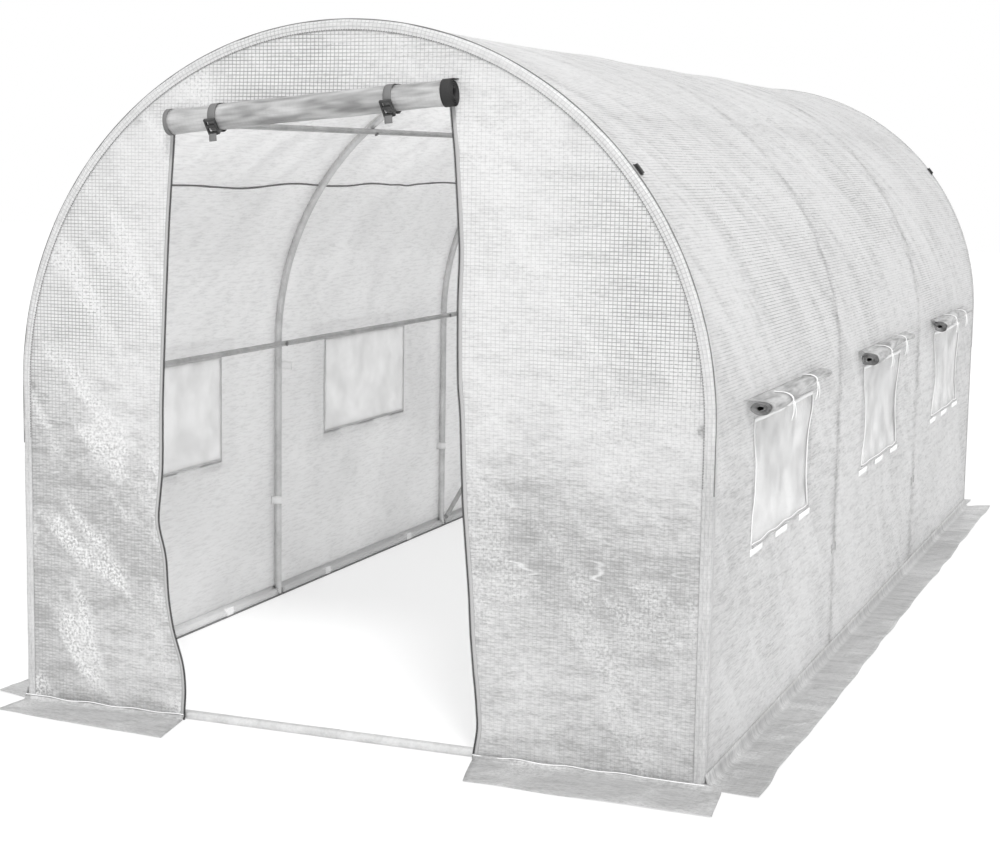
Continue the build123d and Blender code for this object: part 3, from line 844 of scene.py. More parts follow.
threadTree = blockTree("stitchRow", slateTape)
for name, path, end in (("frontStitches", frontStitch, -1), ("backStitches", backStitch, 1)):
    row = path[path[:, 2] > hem["plainBelow"]] + np.array((0, end * hem["stitchStand"], 0))
    stitches = growAlong(name, threadTree, [row], {
        "Spacing": hem["stitch"], "Size": hem["stitchSize"], "Facing": (0, end, 0)})
    settle(stitches, "cover_film")
print("hems sewn")


# A round tube along a path
def tubeAlong(name, path, radius, finish, sides=10):
    path = np.array(path, float)
    ahead = np.gradient(path, axis=0)
    ahead /= np.linalg.norm(ahead, axis=1)[:, None]
    first = np.cross(ahead, (0.0, 1.0, 0.0) if abs(ahead[0, 2]) > 0.9 else (0.0, 0.0, 1.0))
    first /= np.linalg.norm(first, axis=1)[:, None]
    second = np.cross(ahead, first)
    turn = np.linspace(0, 2 * math.pi, sides + 1)
    cosine, sine = np.cos(turn)[None, :, None], np.sin(turn)[None, :, None]
    points = path[:, None, :] + radius * (cosine * first[:, None, :] + sine * second[:, None, :])
    run = runAlong(path)
    return gridSheet(name, points, together(run[:, None], turn[None, :] * radius), finish, True)


skirt = {
    "thick": 0.001, "lie": 0.0016, "off": 0.0022,  # off the sheet behind it
    "fold": {"side": 0.034, "front": 0.012}, "crease": 0.0014,
    "ripple": 0.0045, "wrinkle": 0.002, "edgeWave": 0.006,
}


# Skirt: a flap on the ground between an inner and an outer line, creased along its fold
def skirtFlap(name, innerA, innerB, outerA, outerB, seed, flip, fold):
    innerA, innerB, outerA, outerB = (np.array(p, float) for p in (innerA, innerB, outerA, outerB))
    long = np.linalg.norm(innerB - innerA)
    along = np.linspace(0, 1, max(12, int(long / 0.02)))[:, None, None]
    across = np.concatenate([[0, 0.02, 0.05, 0.09], np.linspace(0.14, 1, 12)])[None, :, None]
    inner, outer = innerA + (innerB - innerA) * along, outerA + (outerB - outerA) * along
    flat = inner + (outer - inner) * across
    x, y, s = flat[..., 0], flat[..., 1], across[..., 0] + 0 * along[..., 0]
    swell = np.maximum(0, lattice(x * 5 + seed, y * 5, seed)) ** 1.5
    ripple = skirt["ripple"] * smooth(0.1, 0.6, s) * swell
    wrinkle = skirt["wrinkle"] * creases(x * 9, y * 9, seed + 5) * smooth(0.05, 0.3, s)
    rise = skirt["fold"][fold] * np.exp(-((s * 22) ** 1.4))
    edgeWave = skirt["edgeWave"] * lattice(x * 6, y * 6, seed + 8) * s
    points = together(x + edgeWave, y + edgeWave, skirt["lie"] + ripple + wrinkle + rise)
    return gridSheet(name, points, flat, skirtFilm, flip, skirt["thick"])


wallX, frontY = coverRadius + skirt["off"], -panelY - skirt["off"]
leftFoot, rightFoot = jambX("left", 0.0), jambX("right", 0.0)
# inner line, outer line, seed, flipped, kind of fold
skirts = {
    "left_skirt": (
        (-wallX, -panelY), (-wallX, panelY), (-1.118, -panelY + 0.03), (-1.115, panelY + 0.01),
        3, False, "side"),
    "right_skirt": (
        (wallX, -panelY), (wallX, panelY), (1.138, -panelY - 0.02), (1.112, panelY + 0.06),
        4, True, "side"),
    "back_skirt": (
        (-wallX, panelY), (wallX, panelY), (-1.01, panelY + 0.175), (1.01, panelY + 0.17),
        6, False, "side"),
    "front_skirt_left": (
        (-wallX, frontY), (leftFoot, frontY), (-1.015, frontY - 0.13), (-0.455, frontY - 0.183),
        7, True, "front"),
    "front_skirt_right": (
        (rightFoot, frontY), (1.045, frontY), (0.425, frontY - 0.19), (1.075, frontY - 0.2),
        9, True, "front"),
}
for node, spec in skirts.items():
    first, *words = node.split("_")
    name = first + "".join(word.capitalize() for word in words)
    flap = settle(skirtFlap(name, *spec), "cover_film", node)
    ends = [np.array(p) for p in spec[:4]]
    if spec[-1] == "front":  # painted highlight: a white cord along the fold stands in for its bright crease
        x = np.clip(np.linspace(ends[0][0], ends[1][0], 60), -wallX, wallX)
        z = skirt["fold"]["front"] + 0.001 + 0.004 * lattice(x * 14, 0.2, 29)
        line = together(x, frontY - 0.003, z)
        settle(tubeAlong(name + "Crease", line, skirt["crease"], whiteWeb, 8), "cover_film")
print("skirts laid")

zipper = {
    "tape": 0.013, "thick": 0.0008, "stand": 0.0012, "lap": 0.001,
    "teeth": 0.0026, "tooth": (0.0014, 0.0052, 0.0024), "toothStand": 0.002,
}


# Zip: tape along a slack jamb, its teeth on the free edge
def zipTape(name, line, inward):
    share = np.linspace(0, 1, 4)[None, :]
    x = line[:, :1] - inward * (zipper["tape"] * share - zipper["lap"])
    points = together(x, line[:, 1:2] - zipper["stand"], line[:, 2:])
    uv = together(runAlong(line)[:, None], share * zipper["tape"])
    return gridSheet(name, points, uv, greyTape, inward > 0, zipper["thick"])


toothTree = blockTree("zipTeeth", blackWeb)
tapes = [zipTape(side + "Zip", jambLines[side], inward) for side, inward in (("left", 1), ("right", -1))]
settle(joinPieces("doorZipTapes", tapes), "black_webbing", "door_zips")
toothLines = [jambLines[side] + np.array((0, -zipper["toothStand"], 0)) for side in ("left", "right")]
teeth = growAlong("doorZipTeeth", toothTree, toothLines, {
    "Spacing": zipper["teeth"], "Size": zipper["tooth"], "Facing": (0, -1, 0)})
settle(teeth, "black_webbing")
print("zips sewn in")

doorRoll = {
    "core": 0.012, "outer": 0.0344, "turns": 4.5, "slope": math.radians(5.7), "reach": 0.0392,
    "length": 0.818, "thick": 0.0012, "dent": 0.0028,
    "leftBand": 0.012, "rightBand": 0.026, "band": 0.0022, "bandProud": 0.0008, "bandDent": 0.001,
}
doorX = (door["left"] + door["right"]) / 2
doorRoll["middle"] = np.array((doorX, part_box("front_panel_left")[0].y - doorRoll["reach"], headZ(doorX)))
rollAlong = np.array((math.cos(doorRoll["slope"]), 0, math.sin(doorRoll["slope"])))
rollUp = np.array((-math.sin(doorRoll["slope"]), 0, math.cos(doorRoll["slope"])))


# Section of a wound flap: local x away from the sheet it hangs on, local y up; ends on that sheet
def woundSection(roll, pieces=110):
    turn = np.linspace(0, roll["turns"] * 2 * math.pi, pieces)
    radius = roll["core"] + (roll["outer"] - roll["core"]) * turn / turn[-1]
    angle = turn - math.pi / 2
    tail = np.linspace(0.15, 1, 6)
    x = np.concatenate([radius * np.cos(angle), -roll["reach"] * tail])
    y = np.concatenate([radius * np.sin(angle), np.full(6, roll["outer"])])
    dented = np.concatenate([radius / roll["outer"], 1 - tail])
    return x, y, np.concatenate([angle, np.full(6, angle[-1])]), dented


def wound(name, roll, stations, place, finish, seed, thick, flip):
    x, y, angle, dented = woundSection(roll)
    run = np.concatenate([[0], np.cumsum(np.hypot(np.diff(x), np.diff(y)))])
    rows = []
    for s in stations:
        uneven = lattice(np.cos(angle) * 1.6 + s * 9, np.sin(angle) * 1.6 + s * 5, seed)
        dent = roll["dent"] * dented * uneven
        stretch = 1 + dent / roll["outer"]
        rows.append(place(s, x * stretch, y * stretch))
    uv = together(stations[:, None], run[None, :])
    return gridSheet(name, np.array(rows), uv, finish, flip, thick)


def doorPlace(s, x, y):
    return (doorRoll["middle"] + rollAlong * s)[None, :] + np.outer(x, (0, -1, 0)) + np.outer(y, rollUp)


halfRoll = doorRoll["length"] / 2
flapRun = np.linspace(-halfRoll + doorRoll["leftBand"], halfRoll - doorRoll["rightBand"], 70)
rollPiece = wound("doorRollFlap", doorRoll, flapRun, doorPlace, rollFilm, 81, doorRoll["thick"], False)
settle(rollPiece, "cover_film", "door_roll")
woundRun = float(np.sum(np.hypot(*np.diff(np.array(woundSection(doorRoll)[:2]), axis=1))))
bandRoll = {**doorRoll, "outer": doorRoll["outer"] + doorRoll["bandProud"], "dent": doorRoll["bandDent"]}
rightTurns = np.linspace(halfRoll - doorRoll["rightBand"], halfRoll, 5)
leftTurns = np.linspace(-halfRoll, -halfRoll + doorRoll["leftBand"], 4)
bands = joinPieces("doorRollEnds", [
    wound("rightBand", bandRoll, rightTurns, doorPlace, blackWeb, 82, doorRoll["band"], False),
    wound("leftBand", bandRoll, leftTurns, doorPlace, slateTape, 83, doorRoll["band"], False),
])
settle(bands, "black_webbing", "door_roll_zip_ends")

strap = {
    "places": (-0.262, 0.240), "width": 0.022, "thick": 0.0016, "stand": 0.0028,
    "wrapped": math.radians(300), "tail": 0.020, "tailDrop": 0.02, "tailStand": 0.004, "tailNarrow": 0.96,
    "buckleAngle": math.radians(-32), "buckleStand": 0.0102,
    "rail": (0.0046, 0.046, 0.0085), "railAway": 0.0138, "railBevel": 0.0014,
    "bar": (0.0235, 0.0075), "barBevel": 0.0013,
    "bars": ((0.0195, 0.007, 0.0), (0.002, 0.008, 0.0012), (-0.0185, 0.009, 0.0018)),  # rise, depth, stand
}


# A ribbon along a path, as wide as its webbing
def ribbon(name, path, wide, finish, thick, flip=False):
    path, wide = np.array(path, float), np.array(wide, float)
    share = np.linspace(-0.5, 0.5, 4)
    points = path[:, None, :] + share[None, :, None] * wide
    run = runAlong(path)
    uv = together(run[:, None], (share * np.linalg.norm(wide))[None, :])
    return gridSheet(name, points, uv, finish, flip, thick)


def doorStraps():
    parts = []
    ring = doorRoll["outer"] + strap["stand"]
    tilt = strap["buckleAngle"]
    for place in strap["places"]:
        turn = np.linspace(math.pi / 2, math.pi / 2 - strap["wrapped"], 60)
        lead = -doorRoll["reach"] * np.array((0.97, 0.6, 0.25))
        path = np.concatenate([doorPlace(place, lead, np.full(3, ring)),
                               doorPlace(place, ring * np.cos(turn), ring * np.sin(turn))])
        parts.append(ribbon("strapLoop", path, rollAlong * strap["width"], slateTape, strap["thick"]))
        share = np.linspace(0, 1, 10)
        out = (ring + strap["tailStand"]) * math.cos(tilt) + 0.003 * np.sin(share * 2.2)
        down = (ring + strap["tailStand"]) * math.sin(tilt) - strap["tailDrop"] - strap["tail"] * share
        wide = rollAlong * strap["width"] * strap["tailNarrow"]
        parts.append(ribbon("strapTail", doorPlace(place, out, down), wide, slateTape, strap["thick"]))
    return joinPieces("doorStrapWebbing", parts)


settle(doorStraps(), "black_webbing", "door_straps")


# A small block with softened edges, on its own axes
def softBlock(merged, centre, size, axes, bevel):
    made = bmesh.ops.create_cube(merged, size=1.0)["verts"]
    turn = Matrix([Vector(a) * s for a, s in zip(axes, size)]).transposed().to_4x4()
    bmesh.ops.transform(merged, matrix=Matrix.Translation(Vector(centre)) @ turn, verts=made)
    edges = list({edge for vert in made for edge in vert.link_edges})
    bmesh.ops.bevel(merged, geom=edges, offset=bevel, segments=2, affect="EDGES", profile=0.6)


def blockPiece(name, merged, finish):
    mesh = bpy.data.meshes.new(name)
    bmesh.ops.recalc_face_normals(merged, faces=merged.faces)
    merged.to_mesh(mesh)
    merged.free()
    mesh.materials.append(finish)
    return newObject(name, mesh)


# Ladder buckles: two side rails and three bars, the lowest one a thumb tab
def strapBuckles():
    tilt = strap["buckleAngle"]
    out = np.array((0, -math.cos(tilt), 0)) + rollUp * math.sin(tilt)
    up = np.array((0, math.sin(tilt), 0)) + rollUp * math.cos(tilt)
    middle = doorRoll["middle"] + out * (doorRoll["outer"] + strap["buckleStand"])
    wide, thick = strap["bar"]
    merged = bmesh.new()
    for place in strap["places"]:
        centre, axes = middle + rollAlong * place, (rollAlong, up, out)
        for side in (-1, 1):
            beside = centre + rollAlong * side * strap["railAway"]
            softBlock(merged, beside, strap["rail"], axes, strap["railBevel"])
        for rise, deep, stand in strap["bars"]:
            within = centre + up * rise + out * stand
            softBlock(merged, within, (wide, deep, thick), axes, strap["barBevel"])
    return blockPiece("strapBuckles", merged, blackPlastic)


settle(strapBuckles(), "black_plastic", "door_buckles")
print("door rolled and strapped")

window = {
    "core": 0.008, "outer": 0.0285, "turns": 4.5, "reach": 0.0326, "length": 0.88, "seamZ": 0.945,
    "thick": 0.0012, "dent": 0.0035, "droop": 0.006,
    "taper": 0.45,  # share lost towards the far end
    "broad": 1.10, "press": 0.72,  # the rolls sag flat
    "margin": 0.010, "net": 0.0006, "netBack": 0.0042, "netSlack": 0.007,
    "binding": {-1: 0.022, 1: 0.012}, "bindingStand": 0.0011, "bindingThick": 0.0008, "sillCord": 0.0026,
    "tie": 0.012, "ties": (-0.22, 0.2), "tieProud": 0.0045, "looseTie": 0.15,
    "tab": (0.140, 0.019), "tabs": (-0.42, 0.0, 0.42), "tabThick": 0.0015, "tabPuff": 0.0035,
    "tabDrop": 0.018, "flapFoot": 0.507,
}


# A flap let down over its window, sewn along its top and caught on the pads below
def hangingFlap(middle, number):
    y = np.linspace(middle - window["length"] / 2, middle + window["length"] / 2, 52)[:, None]
    z = np.linspace(window["flapFoot"], window["seamZ"], 28)[None, :]
    fall = (window["seamZ"] - z) / (window["seamZ"] - window["flapFoot"])
    loose = 0.5 + 0.5 * np.sin(y * 17 + 2.5 * lattice(y * 3, z * 5, number + 70))
    out = 0.0022 + 0.0045 * fall + 0.005 * loose * np.sin(fall * math.pi)
    out = out + 0.003 * creases(y * 7, z * 7, number + 60) * fall
    points = together(-(coverRadius + out), y + 0.006 * lattice(z * 8, y * 1.5, number) * fall, z)
    return gridSheet("flap", points, together(y, z), flapFilm, True, window["thick"])


# Where a point of the roll's section lies, out from the wall and up
def flatRoll(size, a, b):
    out = 1.0 + size * (window["reach"] + window["broad"] * a)
    return out, window["seamZ"] + size * window["press"] * (b - window["outer"])


# Size of a roll at a share of its length, and its droop at a distance from its middle
def rollSize(share):
    return 1 - window["taper"] * float(smooth(-0.1, 1.0, share))


def rollDroop(away, number):
    return window["droop"] * math.sin(away * 7 + number)


# Rolled flap, wide at its front end and drawn thin towards the back
def rolledFlap(middle, number):
    def rollPlace(s, a, b):
        x, z = flatRoll(rollSize((s - middle + window["length"] / 2) / window["length"]), a, b)
        z = z + rollDroop(s - middle, number) * (np.hypot(a, b) < window["outer"] * 1.2) * (a > -0.02)
        return together(x, s, z)

    run = np.linspace(middle - window["length"] / 2, middle + window["length"] / 2, 56)
    return wound("flapRoll", window, run, rollPlace, rollFilm, 100 + number, window["thick"], True)


# Net behind an opening, slack between its sewn edges
def windowNet(sign, middle, number):
    wide, sill, top = tunnel["windowWide"], tunnel["windowSill"], tunnel["windowTop"]
    margin = window["margin"]
    y = np.linspace(middle - wide / 2 - margin, middle + wide / 2 + margin, 46)[:, None]
    z = np.linspace(sill - margin, top + margin, 26)[None, :]
    wave = np.sin((y * 22 + z * 14) + 2 * lattice(y * 4, z * 4, number + 90))
    slack = smooth(0, 0.08, -windowGap(y, z)) * (0.5 + 0.5 * wave)
    points = together(sign * (coverRadius - window["netBack"] - window["netSlack"] * slack), y, z)
    finish = openNet if sign < 0 else insectNet
    return gridSheet("net", points, together(y, z), finish, sign < 0, window["net"])


# White binding sewn round an opening, with a cord along the sill on the right
def windowBinding(sign, middle, waveSeed):
    wide, sill, top = tunnel["windowWide"], tunnel["windowSill"], tunnel["windowTop"]
    corners = [(-1, -1), (1, -1), (1, 1), (-1, 1), (-1, -1)]
    ring = []
    for (a, b), (c, d) in zip(corners, corners[1:]):
        for k in np.linspace(0, 1, 30)[:-1]:
            across, rise = a + (c - a) * k, b + (d - b) * k
            ring.append((middle + wide / 2 * across, (sill + top) / 2 + (top - sill) / 2 * rise))
    ring = np.array(ring + ring[:1])
    centre = np.array((middle, (sill + top) / 2))
    outward = np.sign(ring - centre) * (np.abs(ring - centre) > np.array((wide, top - sill)) / 2 - 1e-6)
    share = np.array((-0.35, 0.1, 0.65))
    flat = ring[:, None, :] + outward[:, None, :] * share[None, :, None] * window["binding"][sign]
    y, z = flat[..., 0], flat[..., 1]
    shiftY, shiftZ = windowWave(y, z, waveSeed)
    lift = coverLift(np.where(sign < 0, z, coverRun - z), y)
    points = together(sign * (coverRadius + lift + window["bindingStand"]), y + shiftY, z + shiftZ)
    uv = together(np.arange(len(ring))[:, None] * 0.02, share[None, :] * 0.01)
    finish = flapFilm if sign < 0 else whiteWeb
    made = [gridSheet("binding", points, uv, finish, sign > 0, window["bindingThick"])]
    if sign > 0:
        line = points[:30, 1] + np.array((0.002, 0, 0))
        made.append(tubeAlong("sillCord", line, window["sillCord"], greyTape, 8))
    return made


def windowParts(sideName, sign):
    nets, flaps, binds = [], [], []
    for number, middle in enumerate(bayYs):
        nets.append(windowNet(sign, middle, number))
        binds += windowBinding(sign, middle, waveSeeds[sideName])
        flaps.append(hangingFlap(middle, number) if sign < 0 else rolledFlap(middle, number))
    netPiece = settle(joinPieces(sideName + "WindowNets", nets), "window_net", sideName + "_window_nets")
    if sign < 0:
        flapPiece = settle(joinPieces("leftWindowFlaps", flaps), "cover_film", "left_window_flaps")
    else:
        flapPiece = settle(joinPieces("rightWindowRolls", flaps), "cover_film", "right_window_rolls")
        section = np.array(flatRoll(1.0, *woundSection(window)[:2]))
    settle(joinPieces(sideName + "WindowBinding", binds), "white_webbing")


windowParts("left", -1)
windowParts("right", 1)


# White ties round the rolled flaps, and the pads under each window
def windowTies():
    parts = []
    for number, middle in enumerate(bayYs):
        for share in window["ties"]:
            y = middle + share * window["length"]
            size = rollSize(share + 0.5)
            ring = window["outer"] + window["tieProud"] / size
            x0, z0 = flatRoll(size, 0.0, 0.0)
            z0, edge = z0 + rollDroop(y - middle, number), flatRoll(size, ring, 0.0)[0]
            high = z0 + size * window["press"] * ring
            path = [(x0 - window["reach"] * size * k, y, high) for k in (0.9, 0.5)]
            for a in np.linspace(math.pi / 2, math.pi / 2 - math.radians(310), 40):
                out, rise = math.cos(a), math.sin(a)
                path.append((x0 + (edge - x0) * out, y + 0.010 * out, z0 + (high - z0) * rise))
            parts.append(ribbon("tieLoop", path, (0, window["tie"], 0), whiteWeb, window["thick"]))
            for spin in (-1, 1):
                hang = [(edge + 0.001 + 0.004 * math.sin(3 * k), y + 0.01 + spin * (0.004 + 0.02 * k),
                         z0 - 0.004 - 0.05 * k) for k in np.linspace(0, 1, 8)]
                parts.append(ribbon("tieEnd", hang, (0, window["tie"] * 0.7, 0), whiteWeb, window["thick"]))
            # on the left the tie hangs over the let-down flap
            k = np.linspace(0, 1, 16)
            loose = together(-(coverRadius + 0.0115 + 0.004 * np.sin(2.6 * k)),
                             y + 0.008 * np.sin(3 * k + number), window["seamZ"] - window["looseTie"] * k)
            wide = (0, window["tie"] * 1.3, 0)
            parts.append(ribbon("looseTie", loose, wide, flapFilm, window["thick"], True))
    return joinPieces("windowTieBands", parts)


def windowPads():
    parts = []
    wide, high = window["tab"]
    for sign in (-1, 1):
        for middle in bayYs:
            for share in window["tabs"]:
                u, v = np.linspace(-1, 1, 12)[:, None], np.linspace(-1, 1, 8)[None, :]
                y = middle + share * tunnel["windowWide"] + wide / 2 * u + 0 * v
                z = tunnel["windowSill"] - window["tabDrop"] + high / 2 * v
                z = z + 0.002 * lattice(y * 20, 0.5, 33)
                puff = window["tabPuff"] * (1 - u**4) * (1 - v**4)
                lift = coverLift(np.where(sign < 0, z, coverRun - z), y)
                x = sign * (coverRadius + np.maximum(lift, -0.002) + 0.0016 + puff)
                finish = flapFilm if sign < 0 else whiteWeb
                parts.append(gridSheet("pad", together(x, y, z), together(y, z), finish, sign < 0,
                                       window["tabThick"]))
    return joinPieces("windowTabPads", parts)


settle(windowTies(), "white_webbing", "window_ties")
settle(windowPads(), "white_webbing", "window_tabs")
print("windows dressed")


# Dark piping in the turn of the two hems
for name, end in (("frontPiping", -1), ("backPiping", 1)):
    t = steps([hem["plainBelow"], wallHeight, wallHeight + archRun, coverRun - hem["plainBelow"]], 0.02)
    side, up, base = outlineAt(t)
    ring = edgeRound + hem["stand"] + hem["puff"]
    radial, out = hoopAxis + ring * math.cos(hem["pipingTurn"]), ring * math.sin(hem["pipingTurn"])
    line = together(side * radial, end * (endHoopY + out), base + up * radial)
    settle(tubeAlong(name, line, hem["piping"], slateTape, 8), "cover_film")


# From hoop to hoop in one bay, with a gap at each end
def bayRun(middle, gap, count):
    return np.linspace(middle - bay / 2 + gap, middle + bay / 2 - gap, count)


# Sleeves of film turned over the ground rails, under the clips, with a dark tube at each foot as painted
# shadow
sleeve = {
    "endGap": 0.017, "stand": 0.0014, "turn": (70, 222), "tuck": (0.002, 0.034), "wide": 0.045,
    "piping": 0.0032, "shadowLineHigh": 0.0036, "shadowLineIn": 0.52,
}
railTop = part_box("left_base_rails")[1].z
sleeves, footShadowLines = [], []
for sign in (-1, 1):
    for middle in bayYs:
        y = bayRun(middle, sleeve["endGap"], 60)[:, None]
        ring = railTop / 2 + sleeve["stand"]
        section = [(coverRadius - sleeve["tuck"][0], sleeve["tuck"][1])]
        section += [(hoopAxis + ring * math.cos(a), railTop / 2 + ring * math.sin(a))
                    for a in np.radians(np.linspace(*sleeve["turn"], 16))]
        section = np.array(section)
        points = together(sign * section[None, :, 0], y, section[None, :, 1])
        uv = together(y, np.arange(len(section))[None, :] * 0.006)
        sleeves.append(gridSheet("sleeve", points, uv, sleeveFilm, sign < 0, tunnel["film"]))
    # painted shadow: a dark tube at the sleeve's foot stands in for the shadow line between rail and floor
    path = [(sign * (hoopAxis - railTop * sleeve["shadowLineIn"]), y, sleeve["shadowLineHigh"])
            for y in np.linspace(-endHoopY, endHoopY, 40)]
    footShadowLines.append(tubeAlong("foot", path, sleeve["piping"], slateTape, 8))
sleevePiece = settle(joinPieces("railSleeves", sleeves), "cover_film")
settle(joinPieces("sleeveShadowLines", footShadowLines), "cover_film")

# Stitched slits in the walls, where the leg ties come through
slit = {
    "away": 0.028, "foot": 0.331, "high": 0.028, "bend": 0.003,
    "wide": 0.0035, "thick": 0.0014, "stand": 0.0016,
}
slits = []
for sign in (-1, 1):
    for y in hoopYs[1:3]:
        for shift in (-slit["away"], slit["away"]):
            path = [(sign * (coverRadius + slit["stand"]), y + shift + slit["bend"] * math.sin(3 * k),
                     slit["foot"] + slit["high"] * k) for k in np.linspace(0, 1, 8)]
            slits.append(ribbon("slit", path, (0, slit["wide"], 0), greyTape, slit["thick"], sign > 0))
settle(joinPieces("wallSlits", slits), "white_webbing")

# Cords in the roof seams, a little wavy between the hoops
cord = {
    "endGap": 0.014, "sunk": 0.0042, "wave": 0.010, "kink": 0.016,
    "seams": ((leftSeam, -1, 0.003, slateTape), (rightSeam, 1, 0.0018, clearCord)),  # run, way, radius
}
cordRuns = []
for t0, sign, thick, finish in cord["seams"]:
    for middle in bayYs:
        y = bayRun(middle, cord["endGap"], 90)
        kinks = np.maximum(0, lattice(y * 4.3, 0.7, 45)) ** 3
        t = t0 + sign * (cord["wave"] * lattice(y * 3.1, 0.3, 44) + cord["kink"] * kinks)
        cordRuns.append(tubeAlong("cord", coverPoints(t, y, -cord["sunk"]), thick, finish))
settle(joinPieces("seamCordRuns", cordRuns), "seam_cord", "seam_cords")

# Ties from the walls round the legs of the middle hoops, and one loose end
legTie = {
    "height": 0.345, "width": 0.028, "thick": 0.0016, "inset": 0.002, "off": 0.008, "slack": 0.012,
    "looseFrom": 0.02, "looseLong": 0.10, "looseHeight": 0.822, "looseDrop": 0.012,
}
loops = []
for sign in (-1, 1):
    for y in hoopYs[1:3]:
        ring = hoopTube / 2 + legTie["thick"]
        wallEnd, bend = coverRadius - legTie["inset"], hoopAxis + legTie["off"]
        flat = [(wallEnd, y - ring - legTie["slack"]), (bend, y - ring)]
        flat += [(hoopAxis + ring * math.cos(a), y + ring * math.sin(a))
                 for a in np.linspace(-math.pi / 2, -math.pi * 1.5, 24)]
        flat += [(bend, y + ring), (wallEnd, y + ring + legTie["slack"])]
        path = [(sign * a, b, legTie["height"]) for a, b in flat]
        loops.append(ribbon("legLoop", path, (0, 0, legTie["width"]), whiteWeb, legTie["thick"]))
k = np.linspace(0, 1, 10)
path = together(-(coverRadius - 0.006 - 0.003 * np.sin(4 * k)),
                hoopYs[1] + legTie["looseFrom"] + legTie["looseLong"] * k,
                legTie["looseHeight"] - legTie["looseDrop"] * k)
loops.append(ribbon("looseEnd", path, (0, 0, legTie["width"]), whiteWeb, legTie["thick"]))
settle(joinPieces("legTieLoops", loops), "white_webbing", "leg_ties")


# Geometry Nodes: a hexagon bolt head on its washer at each point, turned to the point's own direction
def boltTree(finish):
    takes = {"Places": "Geometry", "HeadRadius": "Float", "HeadHeight": "Float", "WasherRadius": "Float"}
    tree, bench = newTree("boltHeads", takes, "Bolts")
    given = bench.add("NodeGroupInput")
    facing = bench.add("GeometryNodeInputNamedAttribute", {"data_type": "FLOAT_VECTOR"}, {"Name": "facing"})
    turned = bench.add("FunctionNodeAlignRotationToVector", {"axis": "Z"}, {"Vector": facing})
    head = bench.add("GeometryNodeMeshCylinder", {}, {
        "Vertices": 6, "Radius": given.out("HeadRadius"), "Depth": given.out("HeadHeight")})
    washer = bench.add("GeometryNodeMeshCylinder", {}, {
        "Vertices": 20, "Radius": given.out("WasherRadius"), "Depth": given.out("HeadHeight") * 0.35})
    both = bench.add("GeometryNodeJoinGeometry")
    for part in (washer, head):
        tree.links.new(part.socket, both.socket.node.inputs[0])
    bench.add("NodeGroupOutput", {}, {"Bolts": bench.planted(given, both, turned, finish)})
    return tree


bolt = {
    "angles": (0, 50, 130, 180), "proud": 0.0012, "shift": 0.004,
    "size": {"HeadRadius": 0.0065, "HeadHeight": 0.006, "WasherRadius": 0.0085},
}


def frameBolts():
    places, facings = [], []
    ring = purlinRing - purlinTube / 2 - bolt["proud"]
    for y in hoopYs:
        middle = np.array((0, y + (bolt["shift"] if y < 0 else -bolt["shift"]), wallHeight))
        for angle in np.radians(bolt["angles"]):
            out = np.array((math.cos(angle), 0, math.sin(angle)))
            places.append(out * ring + middle)
            facings.append(-out)
    mesh = bpy.data.meshes.new("boltPlaces")
    mesh.from_pydata([tuple(p) for p in places], [], [])
    layer = mesh.attributes.new("facing", "FLOAT_VECTOR", "POINT")
    layer.data.foreach_set("vector", np.array(facings, np.float32).ravel())
    return grow("frameBolts", mesh, boltTree(boltSteel), bolt["size"])


settle(frameBolts(), "frame_steel")


toggle = {
    "lean": math.radians(39), "endGap": 0.011,
    "blocks": (((0.020, 0.034, 0.002), 0.002), ((0.011, 0.030, 0.007), 0.0062)),  # size and stand
}


# Toggles at the ends of the right-hand roof seam: a bar on a webbing patch
def seamToggles():
    cosine, sine = math.cos(toggle["lean"]), math.sin(toggle["lean"])
    out, across = np.array((cosine, 0, sine)), np.array((-sine, 0, cosine))
    middle = sum(corner.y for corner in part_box("seam_toggles")) / 2
    merged = bmesh.new()
    for end in (-1, 1):
        foot = np.array((0, middle + end * (endHoopY - toggle["endGap"]), wallHeight))
        for size, stand in toggle["blocks"]:
            softBlock(merged, out * (1.0 + stand) + foot, size, ((0, 1, 0), across, out), size[2] * 0.35)
    return blockPiece("seamToggleBars", merged, blackPlastic)


settle(seamToggles(), "black_webbing", "seam_toggles")

# Sleeve joint of the front ground rail
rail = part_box("front_ground_rail")
path = [(x, (rail[0].y + rail[1].y) / 2, rail[1].z / 2) for x in np.linspace(-0.075, -0.02, 8)]
joint = tubeAlong("sillJoint", path, rail[1].z / 2 + 0.0006, tubeSteel, 28)
settle(joint, "frame_steel")
print("frame bolted")

# Rigid pieces of the frame keep their own shape and take a finish
rigid = {name: tubeSteel for name in nodes if any(word in name for word in ("hoop", "legs", "rail"))}
rigid.update({name: railSteel for name in nodes if "purlin" in name or "brace" in name})
rigid["base_clips"] = whitePlastic
for name, finish in rigid.items():
    mesh = nodes[name].data
    mesh.materials.clear()
    mesh.materials.append(finish)

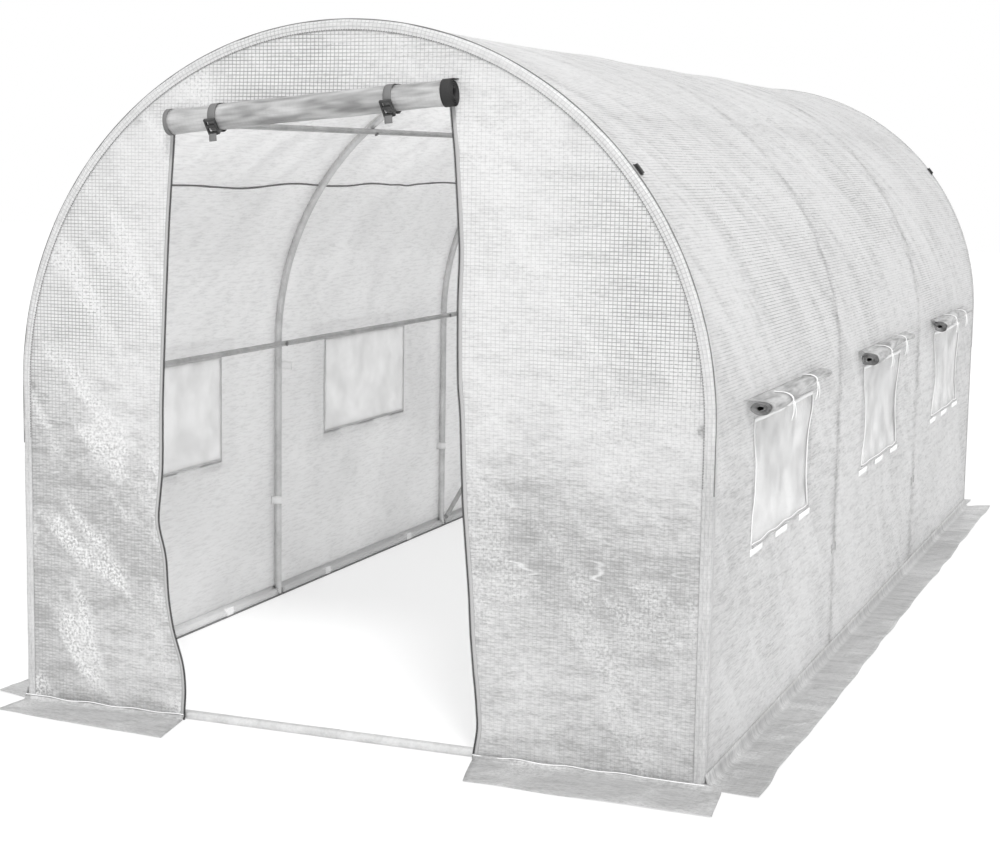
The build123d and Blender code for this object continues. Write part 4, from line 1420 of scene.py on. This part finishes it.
# Stage
floorMesh = bpy.data.meshes.new("floor")
floorMesh.from_pydata([(-30, -30, 0), (30, -30, 0), (30, 30, 0), (-30, 30, 0)], [], [(0, 1, 2, 3)])
floor = newObject("floor", floorMesh)
floorPaint, bench = newFinish("paleFloor")
matt = bench.add("ShaderNodeBsdfDiffuse", {}, {"Color": grey(0.94)})
white = bench.add("ShaderNodeEmission", {}, {"Color": grey(1.0), "Strength": 1.0})
closeFinish(bench, bench.mixed(bench.seen() * 0.6, matt, white))
floorMesh.materials.append(floorPaint)

light = {
    "sky": 0.80, "sun": 2.15, "sunAngle": math.radians(12),
    "sunTurn": (math.radians(43), 0, math.radians(30)),
}
world = bpy.data.worlds.new("studio")
scene.world = world
world.use_nodes = True
bench = Bench(world.node_tree)
sky = bench.add("ShaderNodeBackground", {}, {
    "Color": grey(1.0), "Strength": bench.spread(bench.seen(), 0, 1, light["sky"], 1.0)})
bench.add("ShaderNodeOutputWorld", {}, {"Surface": sky})
sunData = bpy.data.lights.new("window", "SUN")
sunData.energy, sunData.angle = light["sun"], light["sunAngle"]
newObject("window", sunData).rotation_euler = light["sunTurn"]

# Camera at the photograph's angle; the focal length and the image's width are in pixels
view = {
    "focal": 1959.4, "wide": 1000, "sensor": 36, "place": (2.216, -6.845, 1.547),
    "yaw": 21.162, "pitch": 7.684, "roll": 0.938,
}
yaw, pitch, roll = (math.radians(view[k]) for k in ("yaw", "pitch", "roll"))
forward = Vector((-math.sin(yaw) * math.cos(pitch), math.cos(yaw) * math.cos(pitch), -math.sin(pitch)))
level = Vector((math.cos(yaw), math.sin(yaw), 0))
upward = level.cross(forward)
right = math.cos(roll) * level + math.sin(roll) * upward
above = -math.sin(roll) * level + math.cos(roll) * upward
cameraData = bpy.data.cameras.new("camera")
cameraData.sensor_width = view["sensor"]
cameraData.lens = view["focal"] / view["wide"] * view["sensor"]
cameraData.clip_end = 200
camera = newObject("camera", cameraData)
facing = Matrix((right, above, -forward)).transposed().to_4x4()
camera.matrix_world = Matrix.Translation(view["place"]) @ facing
scene.camera = camera
print("stage set")
